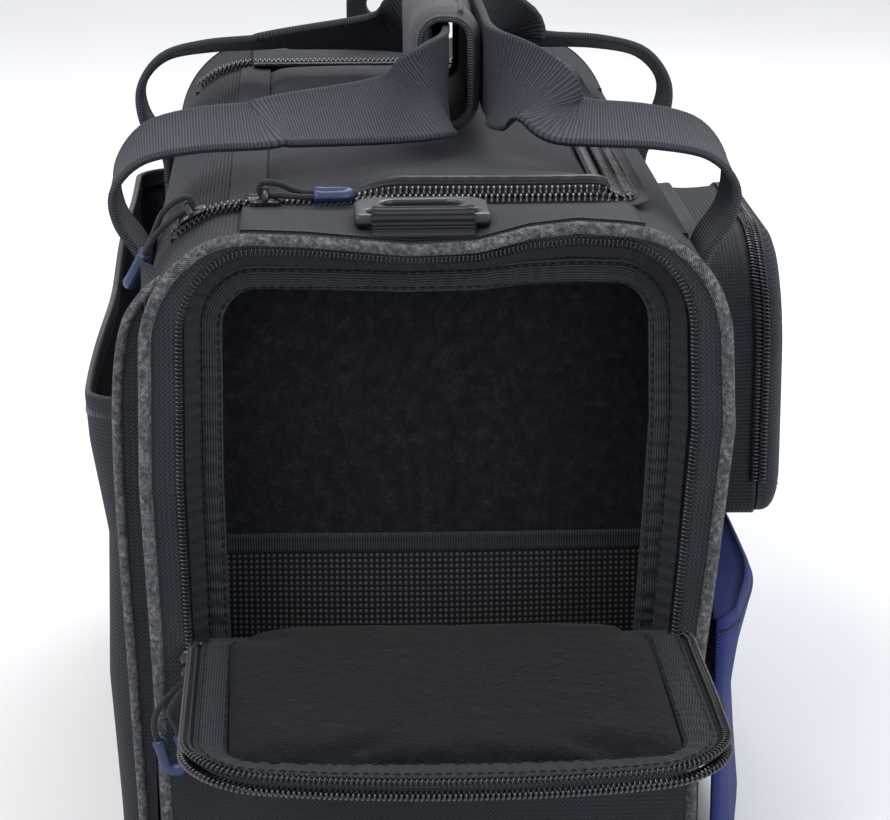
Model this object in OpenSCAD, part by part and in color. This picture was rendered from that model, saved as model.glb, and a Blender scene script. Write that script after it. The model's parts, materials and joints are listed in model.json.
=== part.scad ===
// Flight bag: a soft duffel for pilots with a drop-down headset pocket at each end,
// a zipped top lid, webbing handles, two strap rings, and a pocket on each side.
// Millimetres. Z up, the bag stands on z = 0, length along Y, the open pocket faces -Y.

/* [Overall] */
// length of the bag between the two end faces
bag_length = 430; // [360:1:520]
// width between the side skins
bag_width = 216; // [190:1:260]
// height of the body without the handles
bag_height = 280; // [250:1:340]
// radius of the two top corners seen from the end
top_corner = 38; // [30:1:44]
// radius of the two bottom corners seen from the end
bottom_corner = 10; // [8:1:18]
// distance from an end face to the main zip
pocket_depth = 57; // [48:1:90]

/* [Fabric] */
// thickness of the outer nylon panels
skin = 1.6; // [1.2:0.1:2.4]
// thickness of the foam boards
foam = 6; // [4:0.5:10]
// thickness of the lining fabric
lining = 1; // [0.8:0.1:2]
// thickness of the board in the bottom
board = 3; // [2:0.5:5]
// radius of the corded piping
piping_r = 2.4; // [1.8:0.1:3.2]

/* [End pockets] */
// width between the two zip runs of a door
opening_width = 184; // [160:1:190]
// height of the door hinge above the floor
hinge_z = 128; // [110:1:150]
// distance from the top edge down to the door zip
opening_drop = 8; // [6:0.5:14]
// angle of the open front door from closed
door_open = 89; // [60:1:110]
// thickness of the padding on a door
door_pad = 5; // [3:0.5:8]

/* [Main lid] */
// distance of the lid hinge from the middle, towards the left side
lid_left = 70; // [60:1:74]
// distance of the long zip run from the middle, towards the right side
lid_right = 74; // [66:1:76]
// thickness of the lid padding
lid_pad = 4; // [2:0.5:7]

/* [Handles] */
// width of the webbing
web = 38; // [30:1:44]
// thickness of the webbing
web_t = 2.4; // [1.8:0.1:3.2]
// distance of each handle leg from the middle of the bag
leg_y = 105; // [100:1:130]
// distance below the top where the handle legs leave the side
leg_drop = 42; // [36:1:52]
// height of the middle of the grip above the top
grip_rise = 33; // [31:1:60]
// length of the grip wrap
wrap_length = 112; // [80:1:130]

/* [Rings] */
// outside width of a strap ring
ring_width = 49; // [46:1:60]
// length of a strap ring
ring_length = 32; // [28:1:36]
// how far the front ring sits to the left of the middle
ring_shift = 5; // [0:0.5:8]

/* [Side pockets] */
// how far the right pocket stands out
right_depth = 34; // [20:1:44]
// height of the top edge of the right pocket
right_top = 244; // [200:1:250]
// height of the hinge of the right flap
right_low = 128; // [100:1:136]
// half length of the right pocket
right_half = 82; // [60:1:84]
// how far the left slip pocket stands out
left_depth = 20; // [12:1:30]
// height of the mouth of the left slip pocket
left_top = 221; // [180:1:226]
// radius of the two top corners of the right pocket
right_corner = 48; // [30:1:56]
// how far the lower right panel stands out
lower_depth = 25; // [10:1:30]
// height of the lower right panel
lower_height = 112; // [60:1:114]

/* [View] */
// part to draw

/* [Hidden] */
$fn = 48;
HL = bag_length / 2;
HW = bag_width / 2;
H = bag_height;
zip_y = HL - pocket_depth;
bulk_y = zip_y + 1;
gap = 0.35;
bead = 2.2;
bead_w = 2.6;
tape = 0.6;
hole_h = H - opening_drop - hinge_z;
hole_r = top_corner - 12;
park = 16;
leg_z = H - leg_drop;
grip_z = H + grip_rise;
bar_h = 5.6;
cord_r = 1.2;
clear = 0.5;
ring_t = 5;
ring_z = H + 5.1;
ring_y = HL - 9;
grip_left = 11;
grip_right = 28;
flap_x = HW + right_depth;

// ---- general shapes ----
// arch outline standing on y = 0, with round top corners and small bottom corners
module arch(w, h, rt, rb) {
  if (rt > 0) {
    for (s = [-1, 1]) translate([s * (w / 2 - rt), h - rt]) circle(rt);
    translate([-w / 2 + rt, rb]) square([w - 2 * rt, h - rb]);
  }
  translate([-w / 2, rb]) square([w, h - rt - rb]);
  if (rb > 0) {
    for (s = [-1, 1]) translate([s * (w / 2 - rb), rb]) circle(rb);
    translate([-w / 2 + rb, 0]) square([w - 2 * rb, rb]);
  }
}
// the bag outline, drawn in by i
module outline(i) {
  translate([0, i]) arch(bag_width - 2 * i, H - 2 * i, top_corner - i, max(bottom_corner - i, 1));
}
// a slab between two Y positions, from a shape drawn in X and Z
module slab_y(y0, y1) {
  translate([0, y1, 0]) rotate([90, 0, 0]) linear_extrude(y1 - y0) children();
}
// a slab between two X positions, from a shape drawn in Y and Z
module slab_x(x0, x1) {
  translate([x0, 0, 0]) rotate([90, 0, 90]) linear_extrude(x1 - x0) children();
}
module at_rear() {
  mirror([0, 1, 0]) children();
}

// ---- sweeps for soft cords and webbing ----
function unit(v) = v / norm(v);
function knot(a, b, c, d, t) = 0.5 * (2 * b + (c - a) * t + (2 * a - 5 * b + 4 * c - d) * t * t
  + (3 * b - a - 3 * c + d) * t * t * t);
function smooth(p, k) = let (n = len(p))
  [for (i = [0 : n - 2]) for (j = [0 : k - 1])
    knot(p[max(i - 1, 0)], p[i], p[i + 1], p[min(i + 2, n - 1)], j / k), p[n - 1]];
function along(p, i) = unit(p[min(i + 1, len(p) - 1)] - p[max(i - 1, 0)]);
function tube_points(p, r, ref) = [for (i = [0 : len(p) - 1])
  let (t = along(p, i), u = unit(cross(ref, t)), v = cross(t, u))
  for (k = [0 : 7]) p[i] + r * (cos(45 * k) * u + sin(45 * k) * v)];
function band_points(p, w, wide, thick) = [for (i = [0 : len(p) - 1])
  let (t = along(p, i), n = unit(cross(t, w[i])), u = cross(n, t))
  for (c = [[1, 1], [-1, 1], [-1, -1], [1, -1]])
    p[i] + u * c[0] * wide / 2 + n * c[1] * thick / 2];
function skin_faces(n, m) = concat(
  [for (i = [0 : n - 2]) for (k = [0 : m - 1])
    each [[i * m + k, (i + 1) * m + k, (i + 1) * m + (k + 1) % m],
          [i * m + k, (i + 1) * m + (k + 1) % m, i * m + (k + 1) % m]]],
  [for (k = [1 : m - 2]) each [[0, k, k + 1], [(n - 1) * m, (n - 1) * m + k + 1, (n - 1) * m + k]]]);
module tube(p, r, ref) {
  polyhedron(tube_points(p, r, ref), skin_faces(len(p), 8), convexity = 6);
}
module band(p, w, wide, thick) {
  polyhedron(band_points(p, w, wide, thick), skin_faces(len(p), 4), convexity = 6);
}

// ---- shell ----
module bottom_panel() {
  color([0.14, 0.15, 0.17])
  translate([-HW + bottom_corner, -HL + skin, 0])
  cube([bag_width - 2 * bottom_corner, bag_length - 2 * skin, skin]);
}
module base_board() {
  color([0.1, 0.1, 0.1])
  translate([-HW + bottom_corner + 2, -zip_y + 2, skin])
  cube([bag_width - 2 * bottom_corner - 4, 2 * zip_y - 4, board]);
}
module side_strip(edge) {
  slab_y(-HL + skin, HL - skin)
  intersection() {
    difference() {
      outline(0);
      outline(skin);
    }
    union() {
      translate([edge, 60]) square([200, 400]);
      translate([HW - bottom_corner, -1]) square([200, 80]);
    }
  }
}
module side_skin_right() {
  color([0.17, 0.19, 0.21]) side_strip(lid_right + gap);
}
module side_skin_left() {
  color([0.17, 0.19, 0.21]) mirror([1, 0, 0]) side_strip(lid_left + gap);
}
module side_board() {
  translate([HW - skin - foam, -zip_y + 1, bottom_corner + 3])
  cube([foam, 2 * zip_y - 2, H - top_corner - bottom_corner - 5]);
}
module side_foam_right() {
  color([0.3, 0.3, 0.32]) side_board();
}
module side_foam_left() {
  color([0.3, 0.3, 0.32]) mirror([1, 0, 0]) side_board();
}
module deck() {
  translate([-lid_left - gap, -HL + skin, H - skin])
  cube([lid_left + lid_right + 2 * gap, pocket_depth - skin - gap, skin]);
}
module deck_front() {
  color([0.22, 0.24, 0.28]) deck();
}
module deck_rear() {
  color([0.22, 0.24, 0.28]) at_rear() deck();
}
module bulkhead() {
  slab_y(-bulk_y - foam, -bulk_y) outline(skin);
}
module bulkhead_front() {
  color([0.2, 0.2, 0.22]) bulkhead();
}
module bulkhead_rear() {
  color([0.2, 0.2, 0.22]) at_rear() bulkhead();
}
module tub_outline(i) {
  translate([0, skin + board + i])
  arch(bag_width - 2 * (skin + foam + i), H - 2 * skin - board - 6 - 2 * i,
    top_corner - skin - foam - i, 4 - i);
}
module main_lining() {
  color([0.13, 0.14, 0.16])
  difference() {
    slab_y(-bulk_y, bulk_y) tub_outline(0);
    slab_y(-bulk_y + lining, bulk_y - lining) tub_outline(lining);
    translate([-lid_left + 1, -bulk_y - 5, H - 22]) cube([lid_left + lid_right - 2, 2 * bulk_y + 10, 40]);
  }
}

// ---- main zip and lid ----
module zip_frame(i, o, z0, z1) {
  // strip on the front, right and rear runs, from i inside to o outside of the zip line
  difference() {
    translate([-lid_left, -zip_y - o, z0]) cube([lid_left + lid_right + o, 2 * zip_y + 2 * o, z1 - z0]);
    translate([-lid_left - 5, -zip_y - i, z0 - 5])
    cube([lid_left + lid_right + 5 + i, 2 * zip_y + 2 * i, z1 - z0 + 10]);
  }
}
module main_zip_fixed() {
  color([0.05, 0.05, 0.06]) {
    difference() {
      zip_frame(gap, 9, H, H + tape);
      translate([lid_right + 3, -HL, H]) cube([20, bag_length, 5]);
    }
    zip_frame(gap, gap + bead_w, H, H + bead);
    slab_y(-zip_y - gap - 2 * bead_w, -zip_y - gap) intersection() {
      difference() {
        translate([-lid_left, H - top_corner]) circle(top_corner + bead);
        translate([-lid_left, H - top_corner]) circle(top_corner);
      }
      translate([-lid_left - top_corner * sin(44), H - top_corner + 10])
      square([top_corner * sin(44), 60]);
    }
  }
}
module main_lid_skin() {
  color([0.24, 0.26, 0.3])
  translate([-lid_left + gap, -zip_y + gap, H - skin])
  cube([lid_left + lid_right - 2 * gap, 2 * zip_y - 2 * gap, skin]);
}
module main_lid_lining() {
  color([0.13, 0.14, 0.16])
  translate([-lid_left + 6, -zip_y + 7, H - skin - lid_pad])
  cube([lid_left + lid_right - 13, 2 * zip_y - 14, lid_pad]);
}
module main_zip_lid() {
  color([0.05, 0.05, 0.06]) {
    difference() {
      translate([gap, 0, 0]) zip_frame(-9, -gap, H, H + tape);
      translate([-lid_left - 1, -HL, H - 1]) cube([1 + gap, bag_length, 5]);
    }
    translate([gap, 0, 0]) intersection() {
      zip_frame(-gap - bead_w, -gap, H, H + bead);
      translate([-lid_left, -HL, 0]) cube([lid_left + lid_right - 2 * gap, bag_length, H + 9]);
    }
  }
}

// ---- end pockets ----
module door_hole(g) {
  // the outline of the opening, drawn in by g, with narrow ends where the sliders park
  difference() {
    translate([0, hinge_z + g]) arch(opening_width - 2 * g, hole_h - 2 * g, hole_r - g, 0);
    for (s = [-1, 1]) translate([s * (opening_width / 2 - 1 - g) - 5, hinge_z - 5])
    square([10, park + 5 + g]);
  }
}
module door_frame(i, o) {
  // band round the two sides and the top of the opening
  difference() {
    translate([0, hinge_z - park]) arch(opening_width + 2 * o, hole_h + park + o, hole_r + o, 0);
    translate([0, hinge_z - park - 5]) arch(opening_width + 2 * i, hole_h + park + 5 + i, hole_r + i, 0);
  }
}
module pocket_face() {
  slab_y(-HL, -HL + skin)
  difference() {
    outline(0);
    door_hole(0);
  }
}
module pocket_lining() {
  difference() {
    slab_y(-HL + skin, -bulk_y - foam) outline(skin);
    slab_y(-HL, -bulk_y - foam - lining) outline(skin + lining);
  }
}
module pocket_zip() {
  slab_y(-HL - tape, -HL) intersection() {
    door_frame(0, 6);
    outline(2 * piping_r + gap);
  }
  slab_y(-HL - bead, -HL) door_frame(0, bead_w);
}
module piping_shape() {
  intersection() {
    translate([0, piping_r / 2]) circle(piping_r, $fn = 24);
    translate([-5, 0]) square([10, 10]);
  }
}
module piping_run(w, h, rt, rb) {
  // flat back on the plane z = 0, path drawn in X and Y
  for (s = [0, 1]) mirror([s, 0, 0]) {
    translate([w / 2, h - rt, 0]) rotate([90, 0, 0]) linear_extrude(h - rt - rb) piping_shape();
    translate([w / 2 - rt, h - rt, 0]) rotate_extrude(angle = 90, $fn = 96) translate([rt, 0]) piping_shape();
    translate([w / 2 - rb, rb, 0]) rotate([0, 0, -90])
    rotate_extrude(angle = 90, $fn = 96) translate([rb, 0]) piping_shape();
  }
  translate([-w / 2 + rt, h, 0]) rotate([90, 0, 90]) linear_extrude(w - 2 * rt) piping_shape();
  translate([w / 2 - rb, 0, 0]) rotate([90, 0, -90]) linear_extrude(w - 2 * rb) piping_shape();
}
module pocket_piping() {
  translate([0, -HL, piping_r]) rotate([90, 0, 0])
  piping_run(bag_width - 2 * piping_r, H - 2 * piping_r, top_corner - piping_r, bottom_corner - piping_r);
}
module door_place(a) {
  translate([0, -HL, hinge_z]) rotate([a, 0, 0]) translate([0, HL, -hinge_z]) children();
}
module door_skin() {
  slab_y(-HL, -HL + skin) door_hole(gap);
}
module door_lining() {
  slab_y(-HL + skin, -HL + skin + door_pad) door_hole(7);
}
module door_zip() {
  slab_y(-HL - tape, -HL) intersection() {
    door_hole(gap);
    difference() {
      translate([0, 0]) square([500, 1000], center = true);
      door_hole(gap + 9);
      translate([-200, 0]) square([400, hinge_z + park + 2]);
    }
  }
  slab_y(-HL - bead, -HL) difference() {
    door_hole(gap);
    door_hole(gap + bead_w);
    translate([-200, 0]) square([400, hinge_z + park + 2]);
  }
}
module front_pocket_face() {
  color([0.15, 0.17, 0.2]) pocket_face();
}
module front_pocket_lining() {
  color([0.1, 0.11, 0.12]) pocket_lining();
}
module front_zip_fixed() {
  color([0.05, 0.05, 0.06]) pocket_zip();
}
module front_piping() {
  color([0.28, 0.29, 0.29]) pocket_piping();
}
module front_door_skin() {
  color([0.15, 0.17, 0.2]) door_place(door_open) door_skin();
}
module front_door_lining() {
  color([0.12, 0.14, 0.16]) door_place(door_open) door_lining();
}
module front_zip_door() {
  color([0.05, 0.05, 0.06]) door_place(door_open) door_zip();
}
module rear_pocket_face() {
  color([0.15, 0.17, 0.2]) at_rear() pocket_face();
}
module rear_pocket_lining() {
  color([0.1, 0.11, 0.12]) at_rear() pocket_lining();
}
module rear_zip_fixed() {
  color([0.05, 0.05, 0.06]) at_rear() pocket_zip();
}
module rear_piping() {
  color([0.28, 0.29, 0.29]) at_rear() pocket_piping();
}
module rear_door_skin() {
  color([0.15, 0.17, 0.2]) at_rear() door_skin();
}
module rear_door_lining() {
  color([0.12, 0.14, 0.16]) at_rear() door_lining();
}
module rear_zip_door() {
  color([0.05, 0.05, 0.06]) at_rear() door_zip();
}

// ---- handles ----
module legs(z0) {
  // the webbing stops below the swing line, where the handle turns over it
  for (s = [-1, 1]) translate([HW, s * leg_y - web / 2, z0]) cube([web_t, web, leg_z - 3.4 - z0]);
}
module handle_legs() {
  color([0.33, 0.35, 0.38]) {
    legs(bottom_corner + lower_height + gap);
    mirror([1, 0, 0]) legs(bottom_corner + 4);
  }
}
// middle line of the right handle, front half, and the direction of the webbing width
function half_path(gx, gz) = [
  [HW + web_t / 2 + 0.4, -leg_y, leg_z + 0.4], [HW + web_t / 2 + 1.6, -leg_y, leg_z + 13],
  [HW + 12, -leg_y, leg_z + 28], [HW + 13, -leg_y - 0.5, leg_z + 43], [HW + 2, -leg_y - 1, leg_z + 56],
  [HW - 18, -leg_y - 1, leg_z + 61], [HW - 42, -leg_y, leg_z + 62.5], [HW - 54, -leg_y + 3, leg_z + 64],
  [gx + 18, -leg_y + 11, gz - 7], [gx + 4, -leg_y + 27, gz - 1.5], [gx, -wrap_length / 2 - 2, gz]];
half_width = [[0, 1, 0], [0, 1, 0], [0, 1, 0], [0, 1, 0.1], [0, 1, 0.2], [0, 1, 0.25], [0, 1, 0.28],
  [0, 0.94, 0.34], [0, 0.82, 0.57], [0, 0.4, 0.92], [0, 0, 1]];
function back(v) = [for (i = [len(v) - 1 : -1 : 0]) [v[i][0], -v[i][1], v[i][2]]];
function back_width(v) = [for (i = [len(v) - 1 : -1 : 0]) [-v[i][0], v[i][1], -v[i][2]]];
function full_path(gx, gz) = concat(half_path(gx, gz),
  [[gx, -wrap_length / 4, gz], [gx, wrap_length / 4, gz]], back(half_path(gx, gz)));
// the width keeps its sense on the way back, so the webbing turns over only once
full_width = concat(half_width, [[0, 0, 1], [0, 0, 1]], [for (v = back_width(half_width)) -v]);
module handle(gx, gz) {
  band(smooth(full_path(gx, gz), 4), smooth(full_width, 4), web, web_t);
}
module handle_right() {
  color([0.35, 0.37, 0.4]) handle(grip_right, grip_z + 2);
}
module handle_left() {
  color([0.35, 0.37, 0.4]) mirror([1, 0, 0]) handle(-grip_left, grip_z);
}
module handle_wrap() {
  color([0.32, 0.32, 0.35])
  slab_y(-wrap_length / 2, wrap_length / 2)
  translate([grip_left, grip_z - 23]) difference() {
    arch(23, 46, 10, 10);
    translate([-web_t / 2 - 0.4, 3]) square([web_t + 0.8, 40]);
  }
}

// ---- strap rings ----
module ring_flat() {
  // bar on the X axis, the ring reaches to +Y
  difference() {
    union() {
      translate([-ring_width / 2 + 4, 0, -ring_t / 2]) cube([ring_width - 8, ring_length - 6.5, ring_t]);
      translate([-ring_width / 2, 0, -ring_t / 2]) cube([ring_width, ring_length - 12, ring_t]);
      translate([-ring_width / 2 + 8, ring_length - 12, -ring_t / 2])
      cube([ring_width - 16, 9.5, ring_t]);
      for (s = [-1, 1]) translate([s * (ring_width / 2 - 9.5), ring_length - 12, -ring_t / 2])
      cylinder(r = 9.5, h = ring_t);
      rotate([0, 90, 0]) translate([0, 0, -ring_width / 2]) cylinder(r = ring_t / 2, h = ring_width);
    }
    translate([-web / 2 - 0.75, 0, -ring_t]) cube([web + 1.5, 8.5, 2 * ring_t]);
    translate([-9, 12.5, -ring_t]) cube([18, ring_length - 21, 2 * ring_t]);
    for (s = [-1, 1]) translate([9 * s, 12.5 + (ring_length - 21) / 2, -ring_t])
    cylinder(r = (ring_length - 21) / 2, h = 2 * ring_t);
  }
  rotate([0, 90, 0]) translate([0, 0, -ring_width / 2 + 1]) cylinder(r = ring_t / 2, h = ring_width - 2);
}
module strap_ring_front() {
  color([0.2, 0.22, 0.26]) translate([-ring_shift, -ring_y, ring_z]) ring_flat();
}
module strap_ring_rear() {
  color([0.2, 0.22, 0.26]) at_rear() translate([0, -ring_y, ring_z]) rotate([90, 0, 0]) ring_flat();
}
module tab() {
  translate([-web / 2, -ring_y, ring_z]) rotate([0, 90, 0]) difference() {
    cylinder(r = 5.1, h = web);
    translate([0, 0, -1]) cylinder(r = 2.9, h = web + 2);
  }
  translate([-web / 2, -HL + 1, H]) cube([web, HL - ring_y - 4, 2.2]);
}
module strap_tab_front() {
  color([0.33, 0.35, 0.38]) translate([-ring_shift, 0, 0]) tab();
}
module strap_tab_rear() {
  color([0.33, 0.35, 0.38]) at_rear() tab();
}

// ---- side pockets ----
module slip_plan(i, d) {
  // plan of the slip pocket, drawn in by i, standing on the side skin
  r = 14 - i;
  intersection() {
    translate([-HW - 2 * d, -HL]) square([2 * d, bag_length]);
    translate([-HW - d + i, -HL + 14 + i]) {
      translate([r, 0]) square([d - i - r, bag_length - 28 - 2 * i]);
      translate([0, r]) square([d - i, bag_length - 28 - 2 * i - 2 * r]);
      for (y = [r, bag_length - 28 - 2 * i - r]) translate([r, y]) circle(r);
    }
  }
}
module left_slip_pocket() {
  color([0.15, 0.17, 0.19])
  difference() {
    translate([0, 0, bottom_corner]) linear_extrude(left_top - bottom_corner) slip_plan(0, left_depth);
    translate([0, 0, bottom_corner + skin]) linear_extrude(left_top) union() {
      slip_plan(skin, left_depth);
      translate([-HW - 2, -HL + 14 + skin]) square([3, bag_length - 28 - 2 * skin]);
    }
  }
}
module left_slip_trim() {
  color([0.1, 0.1, 0.11])
  translate([0, 0, left_top - 8]) linear_extrude(8) difference() {
    slip_plan(-0.8, left_depth);
    slip_plan(0, left_depth);
    translate([-HW, -HL]) square([30, bag_length]);
  }
}
module right_plan(i) {
  translate([0, right_low + i]) arch(2 * right_half - 2 * i, right_top - right_low - 2 * i,
    right_corner - i, 12 - i);
}
module right_ring(x0, x1, i, o) {
  slab_x(x0, x1) difference() {
    right_plan(-o);
    right_plan(i);
  }
}
module right_pocket_gusset() {
  color([0.15, 0.17, 0.19]) right_ring(HW, flap_x - 2.2, skin, 0);
}
module right_band(x0, x1) {
  difference() {
    right_ring(x0, x1, 0, 2);
    translate([HW, -HL, 0]) cube([200, bag_length, right_low + 16]);
  }
}
module right_zip_fixed() {
  color([0.05, 0.05, 0.06]) right_band(flap_x - 5.4, flap_x - 2.2);
}
module right_flap() {
  color([0.16, 0.18, 0.2]) {
    right_ring(flap_x - 1.8, flap_x, skin, 0);
    slab_x(flap_x, flap_x + skin) right_plan(0);
    slab_x(flap_x + skin, flap_x + 7) right_plan(9);
    slab_x(flap_x + 7, flap_x + 11) right_plan(20 - 9);
  }
}
module right_zip_flap() {
  color([0.05, 0.05, 0.06]) right_band(flap_x - 1.6, flap_x + 1.4);
}
module lower_shape(i) {
  r = 12 - i;
  translate([HW, bottom_corner]) {
    translate([0, i]) square([lower_depth - 12, lower_height - 2 * i]);
    translate([0, i]) square([lower_depth - i, lower_height - 12 - i]);
    translate([lower_depth - 12, lower_height - 12]) circle(r);
  }
}
module right_lower_panel() {
  color([0.12, 0.17, 0.38])
  difference() {
    slab_y(-HL + 30, HL - 30) lower_shape(0);
    slab_y(-HL + 30 + skin, HL - 30 - skin) lower_shape(skin);
  }
}

// ---- sliders and pulls ----
module slider(w0, w1) {
  // travel along X, plate on z = 0, across from w0 to w1, bar along Y at height bar_h
  m = (w0 + w1) / 2;
  translate([-6, w0, 0]) cube([12, w1 - w0, 1.5]);
  for (s = [-1, 1]) translate([-1.6, m + s * 2.9 - 0.6, 1.5]) cube([3.2, 1.2, bar_h - 0.5]);
  translate([0, m - 3, bar_h]) rotate([-90, 0, 0]) cylinder(r = 0.9, h = 6, $fn = 24);
}
module tip_u(r, leg) {
  // moulded U, legs to +X, in the XY plane
  rotate([0, 0, 90]) rotate_extrude(angle = 180, $fn = 48) translate([r, 0]) circle(2.3, $fn = 20);
  for (s = [-1, 1]) translate([0, s * r, 0]) rotate([0, 90, 0]) cylinder(r = 2.3, h = leg, $fn = 20);
}
module puller() {
  // flat tag round the bar on the Y axis, reaching to -X
  rotate([90, 0, 0]) difference() {
    union() {
      translate([0, 0, -1.8]) cylinder(r = 2.3, h = 3.6, $fn = 32);
      translate([-8, -1, -1.8]) cube([7, 2, 3.6]);
      translate([-24, -1, -3]) cube([17, 2, 6]);
    }
    translate([0, 0, -5]) cylinder(r = 1.15, h = 10, $fn = 32);
  }
}
bail_x = opening_width / 2;
bail_y = -HL - bead - gap - bar_h;
bail_z = hinge_z - 8;
// from a pull's own frame (up, across, out) to the bag, on the front face
function hang(x, l) = [for (q = l) [x + q[1], bail_y - q[2], bail_z + q[0]]];
left_pull = [[-28.5, -12.2, 2], [-22, -13.9, 2], [-15, -12.5, 1.6], [-8, -6, -0.6], [-4, -1, -2.3],
  [0, 0, -2.5], [1.8, 0, -1.8], [2.5, 0, 0], [1.8, 0, 1.8], [0, 0, 2.5], [-4, -0.6, 2.8],
  [-9, -5, 4], [-15, -8.2, 3.4], [-20.5, -6.1, 2.4], [-26.4, -4.5, 2]];
module front_slider_at(s) {
  translate([s * bail_x, bail_y + bar_h, bail_z]) rotate([90, 0, 0]) rotate([0, 0, 90]) slider(-5, 5);
}
module front_slider_left() {
  color([0.06, 0.06, 0.07]) front_slider_at(-1);
}
module front_slider_right() {
  color([0.06, 0.06, 0.07]) front_slider_at(1);
}
module pull_cord() {
  tube(smooth(hang(-bail_x, left_pull), 4), cord_r, [1, 0, 0]);
}
module pull_tip() {
  // moulded end below the cord, legs turned a little outwards
  translate([-bail_x - 6.4, bail_y - 2, bail_z - 34.6]) rotate([0, -15, 0])
  rotate([-90, 0, 0]) rotate([0, 0, -90]) tip_u(4, 9);
}
module front_cord_left() {
  color([0.05, 0.05, 0.06]) pull_cord();
}
module front_cord_right() {
  color([0.05, 0.05, 0.06]) mirror([1, 0, 0]) pull_cord();
}
module front_tip_left() {
  color([0.24, 0.36, 0.48]) pull_tip();
}
module front_tip_right() {
  color([0.24, 0.36, 0.48]) mirror([1, 0, 0]) pull_tip();
}
main_y = -zip_y - gap - 5.2;
main_z = H + bead + gap;
corner_a = 28;
run_x = -lid_left + 8;
// from a pull's own frame (along, across, up) to the bag, on the flat top
function lie(l) = [for (q = l) [run_x + q[0], main_y + q[1], main_z + bar_h + q[2]]];
// the same on the rounded left corner
corner_r = top_corner + bead + gap;
function lean(l) = [for (q = l) [
  -lid_left + q[0] * cos(corner_a) - (corner_r + bar_h + q[2]) * sin(corner_a), main_y + q[1],
  H - top_corner + q[0] * sin(corner_a) + (corner_r + bar_h + q[2]) * cos(corner_a)]];
corner_pull = [[-23.5, -5.5, -9.4], [-18, -5.5, -5.7], [-13, -4.6, -3.4], [-8, -2, -2.5], [-4, 0, -2.5],
  [0, 0, -2.5], [1.8, 0, -1.8], [2.5, 0, 0], [1.8, 0, 1.8], [0, 0, 2.5], [-4, 0, 2.6],
  [-9, 0.5, 1.2], [-13, 1.6, -1.6], [-18, 2.5, -5.7], [-23.5, 2.5, -9.4]];
run_pull = [[19.5, -5.5, -2.2], [15, -5.5, -2.2], [10, -3.5, -2.2], [5, -0.8, -2.4], [0, 0, -2.5],
  [-1.8, 0, -1.8], [-2.5, 0, 0], [-1.8, 0, 1.8], [0, 0, 2.5], [5, 0, 1.8],
  [10, 1.2, -0.6], [15, 2.5, -2.2], [19.5, 2.5, -2.2]];
module at_corner() {
  translate([-lid_left, main_y, H - top_corner]) rotate([0, -corner_a, 0])
  translate([0, 0, corner_r]) children();
}
module main_slider_corner() {
  color([0.06, 0.06, 0.07]) at_corner() slider(-4.8, 4.8);
}
module main_slider_run() {
  color([0.06, 0.06, 0.07]) translate([run_x, main_y, main_z]) slider(-4.8, 4.8);
}
module main_cord_corner() {
  color([0.05, 0.05, 0.06]) tube(smooth(lean(corner_pull), 4), cord_r, [0, 1, 0]);
}
module main_cord_run() {
  color([0.05, 0.05, 0.06]) tube(smooth(lie(run_pull), 4), cord_r, [0, 1, 0]);
}
module main_tip_corner() {
  color([0.24, 0.36, 0.48]) at_corner()
  translate([-22.2, -1.5, bar_h - 8.6]) rotate([0, -34, 0]) translate([-9, 0, 0]) tip_u(4, 9);
}
module main_tip_run() {
  color([0.24, 0.36, 0.48])
  translate([run_x + 27, main_y - 1.5, main_z + bar_h - 2.2]) rotate([0, 0, 180]) tip_u(4, 9);
}
// the rear slider runs above the piping
rear_y = -HL - 3 * piping_r / 2 - clear;
module rear_slider() {
  color([0.06, 0.06, 0.07]) at_rear()
  translate([0, rear_y, H - opening_drop + gap]) rotate([90, 0, 0]) slider(0.4, 7.4);
}
module rear_puller() {
  color([0.24, 0.36, 0.48]) at_rear()
  translate([0, rear_y - bar_h, H - opening_drop + gap + 3.9]) rotate([90, 0, 0]) puller();
}
module right_slide_place() {
  translate([flap_x - 2.2, 0, right_top + 2 + gap]) rotate([0, 0, 90]) children();
}
module right_slider() {
  color([0.06, 0.06, 0.07]) right_slide_place() slider(0.4, 7.4);
}
module right_puller() {
  color([0.24, 0.36, 0.48]) right_slide_place() translate([0, 3.9, bar_h]) puller();
}

bottom_panel();
base_board();
side_skin_left();
side_skin_right();
side_foam_left();
side_foam_right();
deck_front();
deck_rear();
bulkhead_front();
bulkhead_rear();
main_lining();
main_zip_fixed();
front_pocket_face();
front_pocket_lining();
front_zip_fixed();
front_piping();
rear_pocket_face();
rear_pocket_lining();
rear_zip_fixed();
rear_piping();
handle_legs();
strap_tab_front();
strap_tab_rear();
left_slip_pocket();
left_slip_trim();
right_pocket_gusset();
right_zip_fixed();
right_lower_panel();
front_door_skin();
front_door_lining();
front_zip_door();
rear_door_skin();
rear_door_lining();
rear_zip_door();
main_lid_skin();
main_lid_lining();
main_zip_lid();
handle_left();
handle_wrap();
handle_right();
strap_ring_front();
strap_ring_rear();
front_slider_left();
front_cord_left();
front_tip_left();
front_slider_right();
front_cord_right();
front_tip_right();
main_slider_corner();
main_cord_corner();
main_tip_corner();
main_slider_run();
main_cord_run();
main_tip_run();
rear_slider();
rear_puller();
right_flap();
right_zip_flap();
right_slider();
right_puller();
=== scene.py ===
import json
import math

import bpy
import numpy as np
from mathutils import Matrix, Vector


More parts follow.
